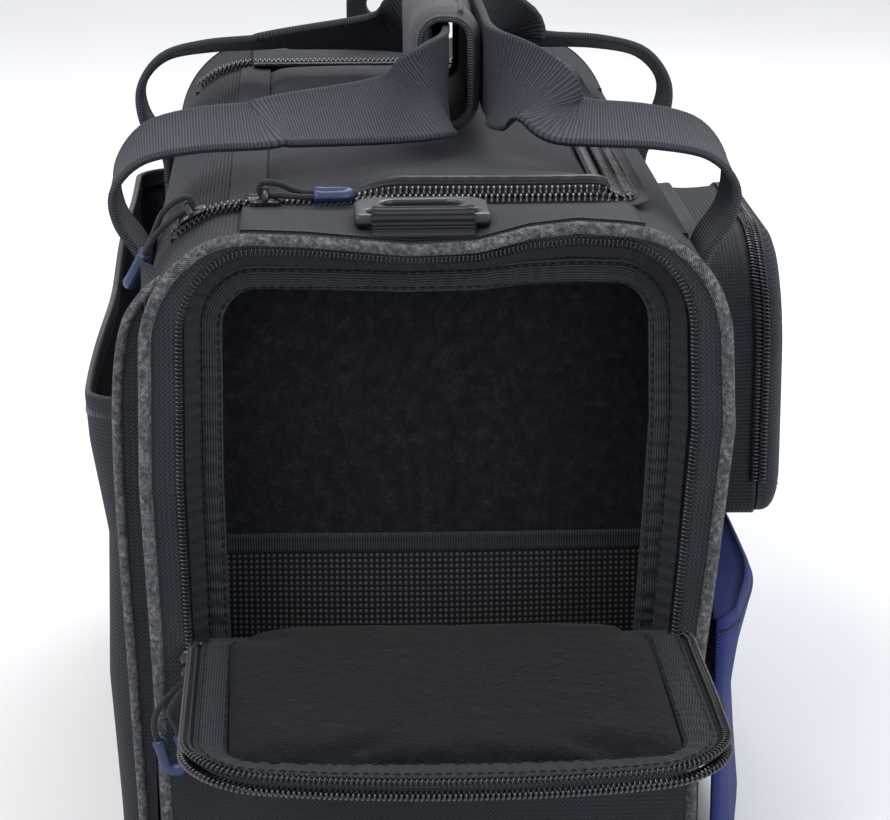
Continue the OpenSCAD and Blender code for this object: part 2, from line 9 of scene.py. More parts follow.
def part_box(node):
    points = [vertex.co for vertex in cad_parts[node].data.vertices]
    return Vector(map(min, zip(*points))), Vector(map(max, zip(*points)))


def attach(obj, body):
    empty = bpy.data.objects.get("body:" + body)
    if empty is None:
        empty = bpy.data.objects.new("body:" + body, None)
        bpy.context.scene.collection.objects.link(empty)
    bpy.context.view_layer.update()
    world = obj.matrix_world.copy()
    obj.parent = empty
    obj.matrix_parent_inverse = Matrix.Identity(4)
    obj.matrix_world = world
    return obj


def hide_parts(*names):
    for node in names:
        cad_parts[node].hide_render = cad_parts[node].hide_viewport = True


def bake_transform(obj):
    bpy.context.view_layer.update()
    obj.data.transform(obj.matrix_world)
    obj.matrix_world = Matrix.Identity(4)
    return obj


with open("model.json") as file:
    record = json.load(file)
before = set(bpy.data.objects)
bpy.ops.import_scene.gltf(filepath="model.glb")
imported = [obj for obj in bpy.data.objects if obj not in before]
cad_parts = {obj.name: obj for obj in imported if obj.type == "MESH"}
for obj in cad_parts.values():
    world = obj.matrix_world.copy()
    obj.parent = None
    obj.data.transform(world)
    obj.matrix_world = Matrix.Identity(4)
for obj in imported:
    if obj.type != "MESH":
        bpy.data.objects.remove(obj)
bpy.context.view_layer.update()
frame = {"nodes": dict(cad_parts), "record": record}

MM = 0.001

# ---------------------------------------------------------------- sizes, in millimetres, from the frame
low, high = [np.array(v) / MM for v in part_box("front_pocket_face")]
HW = high[0]                                # half width of the bag
H = high[2]                                 # height of the body
HL = -low[1]                                # half length of the bag
JOINT = {j["name"]: j for j in frame["record"]["behaviour"]["joints"]}
HINGE_Z = JOINT["front_door_hinge"]["pos_m"][2] / MM
DOOR_OPEN = math.radians(-JOINT["front_door_hinge"]["range_deg"][0])
LID_X0 = JOINT["main_lid_hinge"]["pos_m"][0] / MM
lid_low, lid_high = [np.array(v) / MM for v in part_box("main_lid_skin")]
LID_X1 = lid_high[0]
ZIP_Y = -lid_low[1]
zip_low, zip_high = [np.array(v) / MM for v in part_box("front_zip_door")]
DOOR_HW = zip_high[0]                       # half width of a door
rear_low, rear_high = [np.array(v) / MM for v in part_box("rear_door_skin")]
DOOR_LEN = rear_high[2] - HINGE_Z           # hinge to tip
DOOR_R = 26.0                               # its outer corners
NARROW = 6.0                                # how far its sides draw in beside the hinge
TOP_R = 38.0                                # top corners of the body
LEG_Y = 105.0                               # where the handles leave the sides
LEG_Z = JOINT["right_handle_swing"]["pos_m"][2] / MM
WEB = 38.0                                  # webbing width
flap_low, flap_high = [np.array(v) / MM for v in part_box("right_flap")]
FLAP_X = JOINT["right_flap_hinge"]["pos_m"][0] / MM


def unit(v):
    v = np.asarray(v, float)
    return v / np.maximum(np.linalg.norm(v, axis=-1, keepdims=True), 1e-9)


# ---------------------------------------------------------------- camera
camera = bpy.data.objects.new("camera", bpy.data.cameras.new("camera"))
bpy.context.scene.collection.objects.link(camera)
camera.location = (-0.050, -(HL + 1000) * MM, 0.511)
camera.rotation_euler = (math.radians(73.6), 0, math.radians(-3.0))
camera.data.lens = 116
camera.data.clip_start = 0.02
bpy.context.scene.camera = camera


# ---------------------------------------------------------------- mesh helpers
def make(name, verts, faces, material, body, uv=None, smooth=True):
    """A mesh piece from points in millimetres, riding on a body unless it is None."""
    mesh = bpy.data.meshes.new(name)
    mesh.from_pydata((np.asarray(verts, float) * MM).tolist(), [], faces)
    if uv is not None:
        layer = mesh.uv_layers.new(name="cloth")
        index = np.zeros(len(mesh.loops), np.int32)
        mesh.loops.foreach_get("vertex_index", index)
        layer.data.foreach_set("uv", (np.asarray(uv, float) * MM)[index].astype(np.float32).ravel())
    mesh.polygons.foreach_set("use_smooth", [smooth] * len(mesh.polygons))
    mesh.materials.append(material)
    mesh.validate()
    piece = bpy.data.objects.new(name, mesh)
    bpy.context.scene.collection.objects.link(piece)
    if body:
        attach(piece, body)
    return piece


def label(piece, slot, *nodes):
    """Hides the CAD nodes that a piece stands for; the slot is not used."""
    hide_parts(*nodes)


def spans(p, axis):
    """Running length along one axis of a grid of points."""
    step = np.linalg.norm(np.diff(p, axis=axis), axis=2)
    step = step.mean(axis=1 - axis)
    return np.concatenate([[0], np.cumsum(step)])


def quads(m, n, base=0, flip=False):
    out = []
    for i in range(m - 1):
        for j in range(n - 1):
            a = base + i * n + j
            q = (a, a + 1, a + n + 1, a + n)
            out.append(q[::-1] if flip else q)
    return out


def grid(name, p, material, body, thick=0.0, uv=None, closed=False, mirror=False):
    """A cloth surface over a grid of points (rows, columns, 3), with a thickness behind it."""
    p = np.asarray(p, float)
    m, n = p.shape[:2]
    if uv is None:
        v, u = np.meshgrid(spans(p, 0), spans(p, 1), indexing="ij")
        uv = np.stack([u, v], axis=2)
    uv = np.asarray(uv, float).reshape(-1, 2)
    if mirror:
        p = p * (1, -1, 1)
    flat = p.reshape(-1, 3)
    faces = quads(m, n, 0, mirror)
    if thick:
        normal = unit(np.cross(np.gradient(p, axis=1), np.gradient(p, axis=0)))
        if closed:
            normal[:, 0] = normal[:, -1] = unit(normal[:, 0] + normal[:, -1])
        if mirror:
            normal = -normal
        back = (p + normal * thick).reshape(-1, 3)
        k = m * n
        flat = np.concatenate([flat, back])
        uv = np.concatenate([uv, uv])
        faces += quads(m, n, k, not mirror)
        edges = [(i * n + j, i * n + j + 1) for i in (0, m - 1) for j in range(n - 1)]
        if not closed:
            edges += [(i * n + j, (i + 1) * n + j) for j in (0, n - 1) for i in range(m - 1)]
        faces += [(a, b, b + k, a + k) for a, b in edges]
    return make(name, flat, faces, material, body, uv)


def even(path, count):
    """The same line as a number of evenly spaced points."""
    path = np.asarray(path, float)
    length = np.concatenate([[0], np.cumsum(np.linalg.norm(np.diff(path, axis=0), axis=1))])
    at = np.linspace(0, length[-1], count)
    return np.stack([np.interp(at, length, path[:, k]) for k in range(path.shape[1])], axis=1)


def resample(path, step):
    """The same line with points an even step apart."""
    path = np.asarray(path, float)
    total = float(np.linalg.norm(np.diff(path, axis=0), axis=1).sum())
    return even(path, max(3, int(round(total / step)) + 1))


def smooth_line(points, k=8):
    """A smooth curve through given points."""
    p = np.asarray(points, float)
    q = np.concatenate([[p[0]], p, [p[-1]]])
    out = []
    for i in range(len(p) - 1):
        a, b, c, d = q[i : i + 4]
        for t in np.arange(k) / k:
            out.append(
                0.5 * (2 * b + (c - a) * t + (2 * a - 5 * b + 4 * c - d) * t**2
                       + (3 * b - a - 3 * c + d) * t**3)
            )
    return np.array(out + [p[-1]])


def frames(path, up):
    """Tangent, side and up direction at each point of a line."""
    tangent = unit(np.gradient(path, axis=0))
    up = np.broadcast_to(np.asarray(up, float), path.shape)
    side = unit(np.cross(tangent, up))
    return tangent, side, np.cross(side, tangent)


def sweep(name, path, section, up, material, body, scale=None):
    """A closed section (side, up) carried along a line, with flat ends."""
    path = np.asarray(path, float)
    section = np.asarray(section, float)
    _, side, top = frames(path, up)
    k = len(section)
    s = np.ones(len(path)) if scale is None else np.asarray(scale, float)
    ring = np.concatenate([section, section[:1]])
    beside = ring[None, :, :1] * side[:, None] + ring[None, :, 1:] * top[:, None]
    pts = path[:, None] + s[:, None, None] * beside
    around = np.concatenate([[0], np.cumsum(np.linalg.norm(np.diff(ring, axis=0), axis=1))])
    run = np.concatenate([[0], np.cumsum(np.linalg.norm(np.diff(path, axis=0), axis=1))])
    v, u = np.meshgrid(run, around, indexing="ij")
    faces = quads(len(path), k + 1)
    last = (len(path) - 1) * (k + 1)
    faces += [tuple(range(k - 1, -1, -1)), tuple(range(last, last + k))]
    return make(name, pts.reshape(-1, 3), faces, material, body, np.stack([u, v], 2).reshape(-1, 2))


def ring_section(r, sides=10):
    a = np.arange(sides) * 2 * math.pi / sides
    return np.stack([r * np.cos(a), r * np.sin(a)], 1)


def strap_section(wide, thick, edge=1.3):
    """A flat strap with a slightly fuller edge on each side."""
    w, t = wide / 2, thick / 2
    half = [(-w, 0.0), (-w + 0.5, t * edge), (-w + 2.0, t * edge), (-w + 3.2, t), (0.0, t),
            (w - 3.2, t), (w - 2.0, t * edge), (w - 0.5, t * edge), (w, 0.0)]
    return half + [(x, -z) for x, z in half[-2:0:-1]]


def ripple(x, y, seed, n=6):
    """A smooth random height between about -1 and 1, the same on every run."""
    r = np.random.default_rng(seed)
    out = 0
    for _ in range(n):
        a = r.uniform(0, 2 * math.pi)
        f = r.uniform(0.6, 1.6)
        out = out + np.sin(f * (x * math.cos(a) + y * math.sin(a)) + r.uniform(0, 6.3))
    return out / n * 1.6


# ---------------------------------------------------------------- materials
def linear(rgb):
    c = np.asarray(rgb, float) / 255
    return tuple(np.where(c <= 0.04045, c / 12.92, ((c + 0.055) / 1.055) ** 2.4)) + (1.0,)


class Cloth:
    """Builds one material's nodes, with the small sums written as calls."""

    def __init__(self, name, rough=0.8, sheen=0.0, coat=0.0, specular=0.22):
        self.material = bpy.data.materials.new(name)
        self.material.use_nodes = True
        self.tree = self.material.node_tree
        self.shader = self.tree.nodes["Principled BSDF"]
        self.shader.inputs["Roughness"].default_value = rough
        self.shader.inputs["Specular IOR Level"].default_value = specular
        if sheen:
            self.shader.inputs["Sheen Weight"].default_value = sheen
            self.shader.inputs["Sheen Roughness"].default_value = 0.5
        if coat:
            self.shader.inputs["Coat Weight"].default_value = coat

    def put(self, value, socket):
        if hasattr(value, "is_output"):
            self.tree.links.new(value, socket)
        else:
            socket.default_value = value

    def math(self, what, *values):
        node = self.tree.nodes.new("ShaderNodeMath")
        node.operation = what
        for i, value in enumerate(values):
            self.put(value, node.inputs[i])
        return node.outputs[0]

    def uv(self, scale=1000.0):
        """The two directions along the cloth, in millimetres."""
        node = self.tree.nodes.new("ShaderNodeUVMap")
        node.uv_map = "cloth"
        split = self.tree.nodes.new("ShaderNodeSeparateXYZ")
        self.tree.links.new(node.outputs[0], split.inputs[0])
        return self.math("MULTIPLY", split.outputs[0], scale), self.math("MULTIPLY", split.outputs[1], scale)

    def place(self):
        return self.tree.nodes.new("ShaderNodeTexCoord").outputs["Object"]

    def noise(self, scale, detail=3.0, rough=0.6, vector=None, stretch=None):
        node = self.tree.nodes.new("ShaderNodeTexNoise")
        vector = vector or self.place()
        if stretch:
            m = self.tree.nodes.new("ShaderNodeMapping")
            m.inputs["Scale"].default_value = stretch
            self.tree.links.new(vector, m.inputs["Vector"])
            vector = m.outputs[0]
        self.tree.links.new(vector, node.inputs["Vector"])
        node.inputs["Scale"].default_value = scale
        node.inputs["Detail"].default_value = detail
        node.inputs["Roughness"].default_value = rough
        return node.outputs[0]

    def wave(self, value, period, shift=0.0):
        """|sin| with one hump per period."""
        turned = self.math("MULTIPLY_ADD", value, math.pi / period, shift)
        return self.math("ABSOLUTE", self.math("SINE", turned))

    def ramp(self, value, stops):
        node = self.tree.nodes.new("ShaderNodeValToRGB")
        self.tree.links.new(value, node.inputs[0])
        while len(node.color_ramp.elements) < len(stops):
            node.color_ramp.elements.new(0.5)
        for element, (at, rgb) in zip(node.color_ramp.elements, stops):
            element.position = at
            element.color = linear(rgb)
        return node.outputs[0]

    def colour(self, socket):
        self.tree.links.new(socket, self.shader.inputs["Base Color"])

    def bump(self, height, distance, strength=1.0):
        node = self.tree.nodes.new("ShaderNodeBump")
        self.put(height, node.inputs["Height"])
        node.inputs["Distance"].default_value = distance
        node.inputs["Strength"].default_value = strength
        before = self.shader.inputs["Normal"]
        if before.is_linked:
            self.tree.links.new(before.links[0].from_socket, node.inputs["Normal"])
        self.tree.links.new(node.outputs[0], before)

    def roughness(self, value, low_value, high_value):
        node = self.tree.nodes.new("ShaderNodeMapRange")
        self.tree.links.new(value, node.inputs[0])
        node.inputs["To Min"].default_value = low_value
        node.inputs["To Max"].default_value = high_value
        self.tree.links.new(node.outputs[0], self.shader.inputs["Roughness"])


def shades(rgb, *factors):
    return [tuple(min(255, c * f) for c in rgb) for f in factors]


def woven(name, rgb, period=1.3, turn=45.0, depth=0.00035, sheen=0.03, wear=0.1, rough=0.7):
    """Basket weave of flat coated yarns, laid at an angle."""
    c = Cloth(name, rough, sheen)
    u, v = c.uv()
    s, k = math.sin(math.radians(turn)) / period, math.cos(math.radians(turn)) / period
    a = c.math("SUBTRACT", c.math("MULTIPLY", u, k), c.math("MULTIPLY", v, s))
    b = c.math("ADD", c.math("MULTIPLY", u, s), c.math("MULTIPLY", v, k))
    over = c.math("FLOORED_MODULO", c.math("ADD", c.math("FLOOR", a), c.math("FLOOR", b)), 2.0)
    high_yarn = c.wave(a, 1.0)
    low_yarn = c.wave(b, 1.0)
    h = c.math("ADD", c.math("MULTIPLY", over, high_yarn),
               c.math("MULTIPLY", c.math("SUBTRACT", 1.0, over), low_yarn))
    patch = c.noise(60.0, 3.0)
    thread = c.noise(1500.0, 2.0)
    tone = c.math("ADD", c.math("MULTIPLY", h, 0.55),
                  c.math("ADD", c.math("MULTIPLY", patch, wear * 2), c.math("MULTIPLY", thread, 0.3)))
    dark, mid, light = shades(rgb, 0.5, 1.0, 1.55)
    c.colour(c.ramp(tone, [(0.12, dark), (0.5, mid), (0.95, light)]))
    c.bump(h, depth)
    c.roughness(thread, rough - 0.12, rough + 0.1)
    return c.material


def ribbed(name, rgb, rib=1.15, column=1.0, depth=0.0004, sheen=0.03, rough=0.7, split=0.18):
    """Webbing: fine ribs across the strap with the warp columns showing through."""
    c = Cloth(name, rough, sheen)
    u, v = c.uv()
    ribs = c.wave(v, rib)
    h = c.math("MULTIPLY_ADD", ribs, 1 - split, c.math("MULTIPLY", c.wave(u, column), split))
    fuzz = c.noise(1400.0, 3.0)
    patch = c.noise(45.0, 3.0)
    tone = c.math("ADD", c.math("MULTIPLY", h, 0.6),
                  c.math("ADD", c.math("MULTIPLY", fuzz, 0.35), c.math("MULTIPLY", patch, 0.15)))
    dark, mid, light = shades(rgb, 0.5, 1.0, 1.5)
    c.colour(c.ramp(tone, [(0.2, dark), (0.6, mid), (1.0, light)]))
    c.bump(h, depth)
    c.bump(fuzz, 0.0001)
    return c.material


def grosgrain(name, rgb, rib=1.0, depth=0.0003, rough=0.6):
    """Thin binding tape with fine ribs across it."""
    c = Cloth(name, rough, 0.03)
    _, v = c.uv()
    h = c.wave(v, rib)
    fuzz = c.noise(1200.0, 3.0)
    tone = c.math("ADD", c.math("MULTIPLY", h, 0.5), c.math("MULTIPLY", fuzz, 0.5))
    dark, mid, light = shades(rgb, 0.55, 1.0, 1.5)
    c.colour(c.ramp(tone, [(0.2, dark), (0.55, mid), (0.95, light)]))
    c.bump(h, depth)
    c.bump(fuzz, 0.0001)
    return c.material


def herringbone(name, rgb, rough=0.65):
    """Zip tape: slanting ribs that turn back on themselves."""
    c = Cloth(name, rough, 0.03)
    u, v = c.uv()
    zig = c.math("PINGPONG", u, 2.6)
    h = c.wave(c.math("ADD", v, zig), 1.2)
    fuzz = c.noise(1300.0, 2.0)
    tone = c.math("ADD", c.math("MULTIPLY", h, 0.6), c.math("MULTIPLY", fuzz, 0.35))
    dark, mid, light = shades(rgb, 0.45, 1.0, 1.7)
    c.colour(c.ramp(tone, [(0.15, dark), (0.55, mid), (0.95, light)]))
    c.bump(h, 0.0003)
    return c.material


def fleece(name, rgb, rough=0.95):
    """Brushed pile: soft clumps with a fine nap over them."""
    c = Cloth(name, rough, 0.06, specular=0.08)
    clump = c.noise(180.0, 4.0, 0.7)
    nap = c.noise(900.0, 4.0, 0.8)
    tone = c.math("ADD", c.math("MULTIPLY", clump, 0.5), c.math("MULTIPLY", nap, 0.5))
    dark, mid, light = shades(rgb, 0.45, 0.9, 1.6)
    c.colour(c.ramp(tone, [(0.3, dark), (0.5, mid), (0.72, light)]))
    c.bump(clump, 0.0012, 0.7)
    c.bump(nap, 0.0006, 0.9)
    return c.material


def heather(name, rgb):
    """Grey heathered piping: light flecks in a darker yarn."""
    c = Cloth(name, 0.8, 0.05)
    u, v = c.uv()
    fleck = c.noise(620.0, 4.0, 0.75)
    long_fleck = c.noise(300.0, 3.0, 0.7)
    rib = c.wave(c.math("ADD", u, v), 1.1)
    tone = c.math("ADD", c.math("MULTIPLY", fleck, 0.7),
                  c.math("ADD", c.math("MULTIPLY", long_fleck, 0.3), c.math("MULTIPLY", rib, 0.12)))
    dark, mid, light, white = shades(rgb, 0.45, 1.0, 1.75, 2.5)
    c.colour(c.ramp(tone, [(0.36, dark), (0.52, mid), (0.64, light), (0.78, white)]))
    c.bump(rib, 0.00025)
    c.bump(fleck, 0.0002)
    return c.material


def plastic(name, rgb, rough=0.35, grain=0.00004, coat=0.0):
    """Moulded plastic or coated metal with a faint grain and rubbed patches."""
    c = Cloth(name, rough, 0.0, coat, 0.5)
    grainy = c.noise(1600.0, 2.0)
    rubbed = c.noise(90.0, 4.0)
    dark, mid, light = shades(rgb, 0.8, 1.0, 1.25)
    c.colour(c.ramp(rubbed, [(0.3, dark), (0.55, mid), (0.8, light)]))
    c.roughness(rubbed, rough - 0.08, rough + 0.14)
    c.bump(grainy, grain)
    return c.material


def braided(name, rgb):
    """Braided cord: strands that cross in a lattice."""
    c = Cloth(name, 0.6, 0.1)
    u, v = c.uv()
    one = c.wave(c.math("ADD", u, v), 1.1)
    two = c.wave(c.math("SUBTRACT", u, v), 1.1)
    h = c.math("MAXIMUM", one, two)
    dark, mid, light = shades(rgb, 0.4, 1.0, 2.0)
    c.colour(c.ramp(h, [(0.3, dark), (0.75, mid), (1.0, light)]))
    c.bump(h, 0.0003)
    return c.material


def dotted(name, rgb, dot):
    """Open ballistic mesh: a lattice of small light knots."""
    c = Cloth(name, 0.6, 0.1)
    u, v = c.uv()
    h = c.math("MULTIPLY", c.wave(u, 2.2), c.wave(v, 2.2))
    c.colour(c.ramp(h, [(0.3, shades(rgb, 0.5)[0]), (0.6, rgb), (0.9, dot)]))
    c.bump(h, 0.0004)
    return c.material


NYLON = woven("front_nylon", (31, 35, 40), 1.25, 45)
SIDE_NYLON = woven("side_nylon", (29, 32, 38), 1.1, 45)
LID_NYLON = woven("lid_nylon", (31, 34, 40), 0.85, 0, 0.0002, 0.04, 0.12)
NAVY = woven("navy_nylon", (22, 34, 84), 1.0, 45, 0.00025)
FLEECE = fleece("fleece", (31, 33, 38))
LINING = fleece("lining", (17, 19, 23))
WEBBING = ribbed("webbing", (47, 50, 56))
TAB = ribbed("tab_webbing", (28, 30, 35), 1.7, 6.0, 0.0009, 0.03, 0.6, 0.0)
TAPE = herringbone("zip_tape", (33, 36, 40))
BINDING = grosgrain("binding", (40, 44, 49))
EDGE = grosgrain("edge_binding", (22, 24, 28), 1.4, 0.0002, 0.35)
PIPING = heather("piping", (56, 57, 58))
COIL = plastic("coil", (16, 17, 20), 0.2, 0.00002, 0.3)
METAL = plastic("slider_metal", (24, 26, 30), 0.28, 0.00003, 0.2)
RING = plastic("ring_plastic", (30, 34, 41), 0.32)
CORD = braided("cord", (20, 22, 26))
TIP = plastic("tip_blue", (28, 46, 84), 0.42)
GRIP = woven("grip_cloth", (58, 57, 63), 0.7, 0, 0.00015, 0.06)
MESH = dotted("mesh_lining", (18, 19, 22), (74, 77, 84))
BOARD = plastic("board", (28, 28, 30), 0.6)
BIND_LIGHT = grosgrain("grip_binding_cloth", (62, 66, 74), 1.1)
NAVY_EDGE = grosgrain("navy_edge", (18, 28, 66), 1.2)
SHINE = grosgrain("slip_edge", (30, 33, 39), 1.4, 0.0002, 0.28)
FOAM = fleece("foam", (34, 36, 40), 0.9)

# ---------------------------------------------------------------- cords and their moulded ends
PULL_Z = JOINT["front_pull_left_swing"]["pos_m"][2] / MM
PULL_Y = JOINT["front_pull_left_swing"]["pos_m"][1] / MM
RUN = [v / MM for v in JOINT["run_pull_swing"]["pos_m"]]
HANG = [(-28.5, -12.2, 2), (-22, -13.9, 2), (-15, -12.5, 1.6), (-8, -6, -0.6), (-4, -1, -2.3),
        (0, 0, -2.5), (1.8, 0, -1.8), (2.5, 0, 0), (1.8, 0, 1.8), (0, 0, 2.5), (-4, -0.6, 2.8),
        (-9, -5, 4), (-15, -8.2, 3.4), (-20.5, -6.1, 2.4), (-26.4, -4.5, 2)]
RUN_PULL = [(19.5, -5.5, -2.2), (15, -5.5, -2.2), (10, -3.5, -2.2), (5, -0.8, -2.4), (0, 0, -2.5),
            (-1.8, 0, -1.8), (-2.5, 0, 0), (-1.8, 0, 1.8), (0, 0, 2.5), (5, 0, 1.8), (10, 1.2, -0.6),
            (15, 2.5, -2.2), (19.5, 2.5, -2.2)]
CORNER_PULL = [(-23.5, -5.5, -9.4), (-18, -5.5, -5.7), (-13, -4.6, -3.4), (-8, -2, -2.5), (-4, 0, -2.5),
               (0, 0, -2.5), (1.8, 0, -1.8), (2.5, 0, 0), (1.8, 0, 1.8), (0, 0, 2.5), (-4, 0, 2.6),
               (-9, 0.5, 1.2), (-13, 1.6, -1.6), (-18, 2.5, -5.7), (-23.5, 2.5, -9.4)]
CORNER_A = math.radians(28)
CORNER_R = TOP_R + 2.55
CORD_R = 1.2


def on_front(side):
    return [(side * (92 - a), PULL_Y - o, PULL_Z + u) for u, a, o in HANG]


def on_run():
    return [(RUN[0] + a, RUN[1] + b, RUN[2] + c) for a, b, c in RUN_PULL]


def on_corner():
    s, c = math.sin(CORNER_A), math.cos(CORNER_A)
    r = CORNER_R + 5.6
    return [(LID_X0 + a * c - (r + q) * s, RUN[1] + b, H - TOP_R + a * s + (r + q) * c)
            for a, b, q in CORNER_PULL]


def tip_shape(name, place, body):
    """Moulded U that grips the two ends of a cord: a bent bar with a swollen middle and flat collars."""
    a = np.linspace(0, math.pi, 13)
    legs = np.linspace(9, 0.8, 7)
    line = [(x, 4.0, 0) for x in legs] + [(-4 * math.sin(t), 4 * math.cos(t), 0) for t in a]
    line += [(x, -4.0, 0) for x in legs[::-1]]
    line = np.array(line)
    path = np.array([place @ Vector(p) for p in line])
    centre = place.to_3x3() @ Vector((0, 0, 1))
    t = np.linspace(0, 1, len(line))
    size = 1.0 + 0.22 * np.exp(-((t - 0.5) / 0.12) ** 2)
    size += 0.16 * (np.exp(-((t - 0.03) / 0.025) ** 2) + np.exp(-((t - 0.97) / 0.025) ** 2))
    piece = sweep(name, path, ring_section(2.15, 14), tuple(centre), TIP, body, size)
    return piece


def matrix(position, turns):
    """A place in millimetres: moved to position, turned by a list of (axis, degrees), first one outermost."""
    m = Matrix.Translation(position)
    for axis, degrees in turns:
        m = m @ Matrix.Rotation(math.radians(degrees), 4, axis)
    return m


def pull(name, points, leave, body, place, cad):
    """A cord looped through its bar, with both ends held in a moulded end."""
    path = smooth_line(points, 4)
    cord = sweep("pull_cord_" + name, path, ring_section(CORD_R, 10), leave, CORD, body)
    tip = tip_shape("pull_tip_" + name, place, body)
    length = float(np.linalg.norm(np.diff(path, axis=0), axis=1).sum())
    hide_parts(cad + "_cord_" + name.split("_")[-1])
    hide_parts(cad + "_tip_" + name.split("_")[-1])
    return cord, tip, path, length


def make_pulls():
    for side, word in ((-1, "left"), (1, "right")):
        place = matrix((side * 98.4, PULL_Y - 2, PULL_Z - 34.6), [("Y", side * 15), ("X", -90), ("Z", -90)])
        cord, tip, path, length = pull(word, on_front(side), (1, 0, 0), "front_pull_" + word, place, "front")
    place = matrix((LID_X0, RUN[1], H - TOP_R), [("Y", -28)]) @ matrix((0, 0, CORNER_R), [])
    place = place @ matrix((-22.2, -1.5, 5.6 - 8.6), [("Y", -34)]) @ matrix((-9, 0, 0), [])
    cord, tip, path, length = pull("corner", on_corner(), (0, 1, 0), "corner_pull", place, "main")
    place = matrix((RUN[0] + 27, RUN[1] - 1.5, RUN[2] - 2.2), [("Z", 180)])
    cord, tip, path, length = pull("run", on_run(), (0, 1, 0), "run_pull", place, "main")


# ---------------------------------------------------------------- outlines
def arc(cx, cz, r, a0, a1, n):
    a = np.radians(np.linspace(a0, a1, n))
    return np.stack([cx + r * np.cos(a), cz + r * np.sin(a)], 1)


def arch(w, z0, z1, rt, rb, step=3.0, closed=True):
    """Arch outline from the bottom right, up, over and down, evenly spaced in X and Z."""
    rb = max(rb, 0.01)
    start = [(0.0, z0)] if closed else []
    line = start + arc(w - rb, z0 + rb, rb, -90, 0, 9).tolist() + arc(w - rt, z1 - rt, rt, 0, 90, 25).tolist()
    line = line + [(-x, z) for x, z in line[::-1]]
    return resample(line, step)


def match(inner, outer, centre):
    """Points of the outer line that stand on the rays from the centre through the inner line."""
    ai = np.unwrap(np.arctan2(inner[:, 1] - centre[1], inner[:, 0] - centre[0]))
    ao = np.unwrap(np.arctan2(outer[:, 1] - centre[1], outer[:, 0] - centre[0]))
    ao += 2 * math.pi * round((ai[0] - ao[0]) / (2 * math.pi))
    return np.stack([np.interp(ai, ao, outer[:, k]) for k in (0, 1)], 1)


# ---------------------------------------------------------------- how the soft body gives
TOP_LINE = [(-108, 1.5), (-68, 3.4), (-47, 2.4), (-28, 0.5), (-10, -1.3), (14, -0.4), (33, 4.6), (50, 6.4),
            (66, 5.2), (84, 3.0), (108, 1.0)]
RIGHT_LINE = [(0, -9.5), (55, -9.6), (103, -9.6), (159, -3.6), (209, 1.0), (250, -1.0), (290, 0)]
LEFT_LINE = [(0, 4.5), (60, 3.0), (128, 1.0), (190, -1.4), (250, 0), (290, 0)]


def soft(p):
    """Moves points of the body fabric: the ends sink and swell as a half-full bag does."""
    p = np.array(p, float)
    x, y, z = p[..., 0], p[..., 1], p[..., 2]
    near = np.clip(1 - (HL - np.abs(y)) / 48, 0, 1) ** 1.2
    top = np.clip((z - 255) / 20, 0, 1)
    lift = np.interp(x, [a for a, _ in TOP_LINE], [b for _, b in TOP_LINE])
    right = np.interp(z, [a for a, _ in RIGHT_LINE], [b for _, b in RIGHT_LINE])
    left = np.interp(z, [a for a, _ in LEFT_LINE], [b for _, b in LEFT_LINE])
    side = np.clip((np.abs(x) - 70) / 30, 0, 1)
    deep = np.clip(1 - (HL - np.abs(y)) / 150, 0, 1)
    p[..., 2] = z + lift * top * near
    p[..., 0] = x + np.where(x > 0, right, left) * side * deep
    return p


# ---------------------------------------------------------------- zips and stitches
def coil(name, path, up, offset, wide, tall, pitch, wire, body, phase=0.0, material=None):
    """One half of a coil zip: a flattened helix beside a line, lying on the tape."""
    up = np.broadcast_to(np.asarray(up, float), np.shape(path))
    both = resample(np.concatenate([path, up * 0.001], 1), pitch / 12)
    path = both[:, :3]
    tangent, side, top = frames(path, both[:, 3:] * 1000)
    turn = np.arange(len(path)) * 2 * math.pi / 12 + phase
    bent = np.sign(np.cos(turn)) * np.abs(np.cos(turn)) ** 0.7
    line = path + side * (offset + bent * wide / 2)[:, None]
    line = line + top * (tall / 2 + np.sin(turn) * tall / 2)[:, None]
    _, s2, t2 = frames(line, unit(np.cross(tangent, unit(line - path - top * tall / 2 - side * offset))))
    section = ring_section(wire, 5)
    pts = line[:, None] + section[None, :, :1] * s2[:, None] + section[None, :, 1:] * t2[:, None]
    k, n = len(section), len(line)
    i, j = np.meshgrid(np.arange(n - 1), np.arange(k), indexing="ij")
    a, b = i * k + j, i * k + (j + 1) % k
    faces = np.stack([a, b, b + k, a + k], 2).reshape(-1, 4).tolist()
    uv = np.repeat(np.stack([np.arange(n) * pitch / 12, np.zeros(n)], 1), k, 0)
    return make(name, pts.reshape(-1, 3), faces, material or COIL, body, uv)


def band_on(line, up, a, b, rise_a, rise_b, rows=5, pucker=0.0, seed=1):
    """A strip beside a line, from a to b sideways and rise_a to rise_b upwards, as a grid of points."""
    _, side, top = frames(line, up)
    t = np.linspace(0, 1, rows)
    out = line[None] + side[None] * (a + (b - a) * t)[:, None, None] + top[None] * (
        rise_a + (rise_b - rise_a) * t)[:, None, None]
    if pucker:
        s = np.concatenate([[0], np.cumsum(np.linalg.norm(np.diff(line, axis=0), axis=1))])
        wave = np.sin(s * 0.95 + 1.7 * np.sin(s * 0.21 + seed)) * 0.6 + np.sin(s * 1.9 + seed) * 0.3
        bulge = np.sin(math.pi * np.clip(t, 0.05, 0.95))
        out = out + top[None] * (pucker * wave[None] * bulge[:, None] + 0.9 * bulge[:, None])[..., None]
    return out


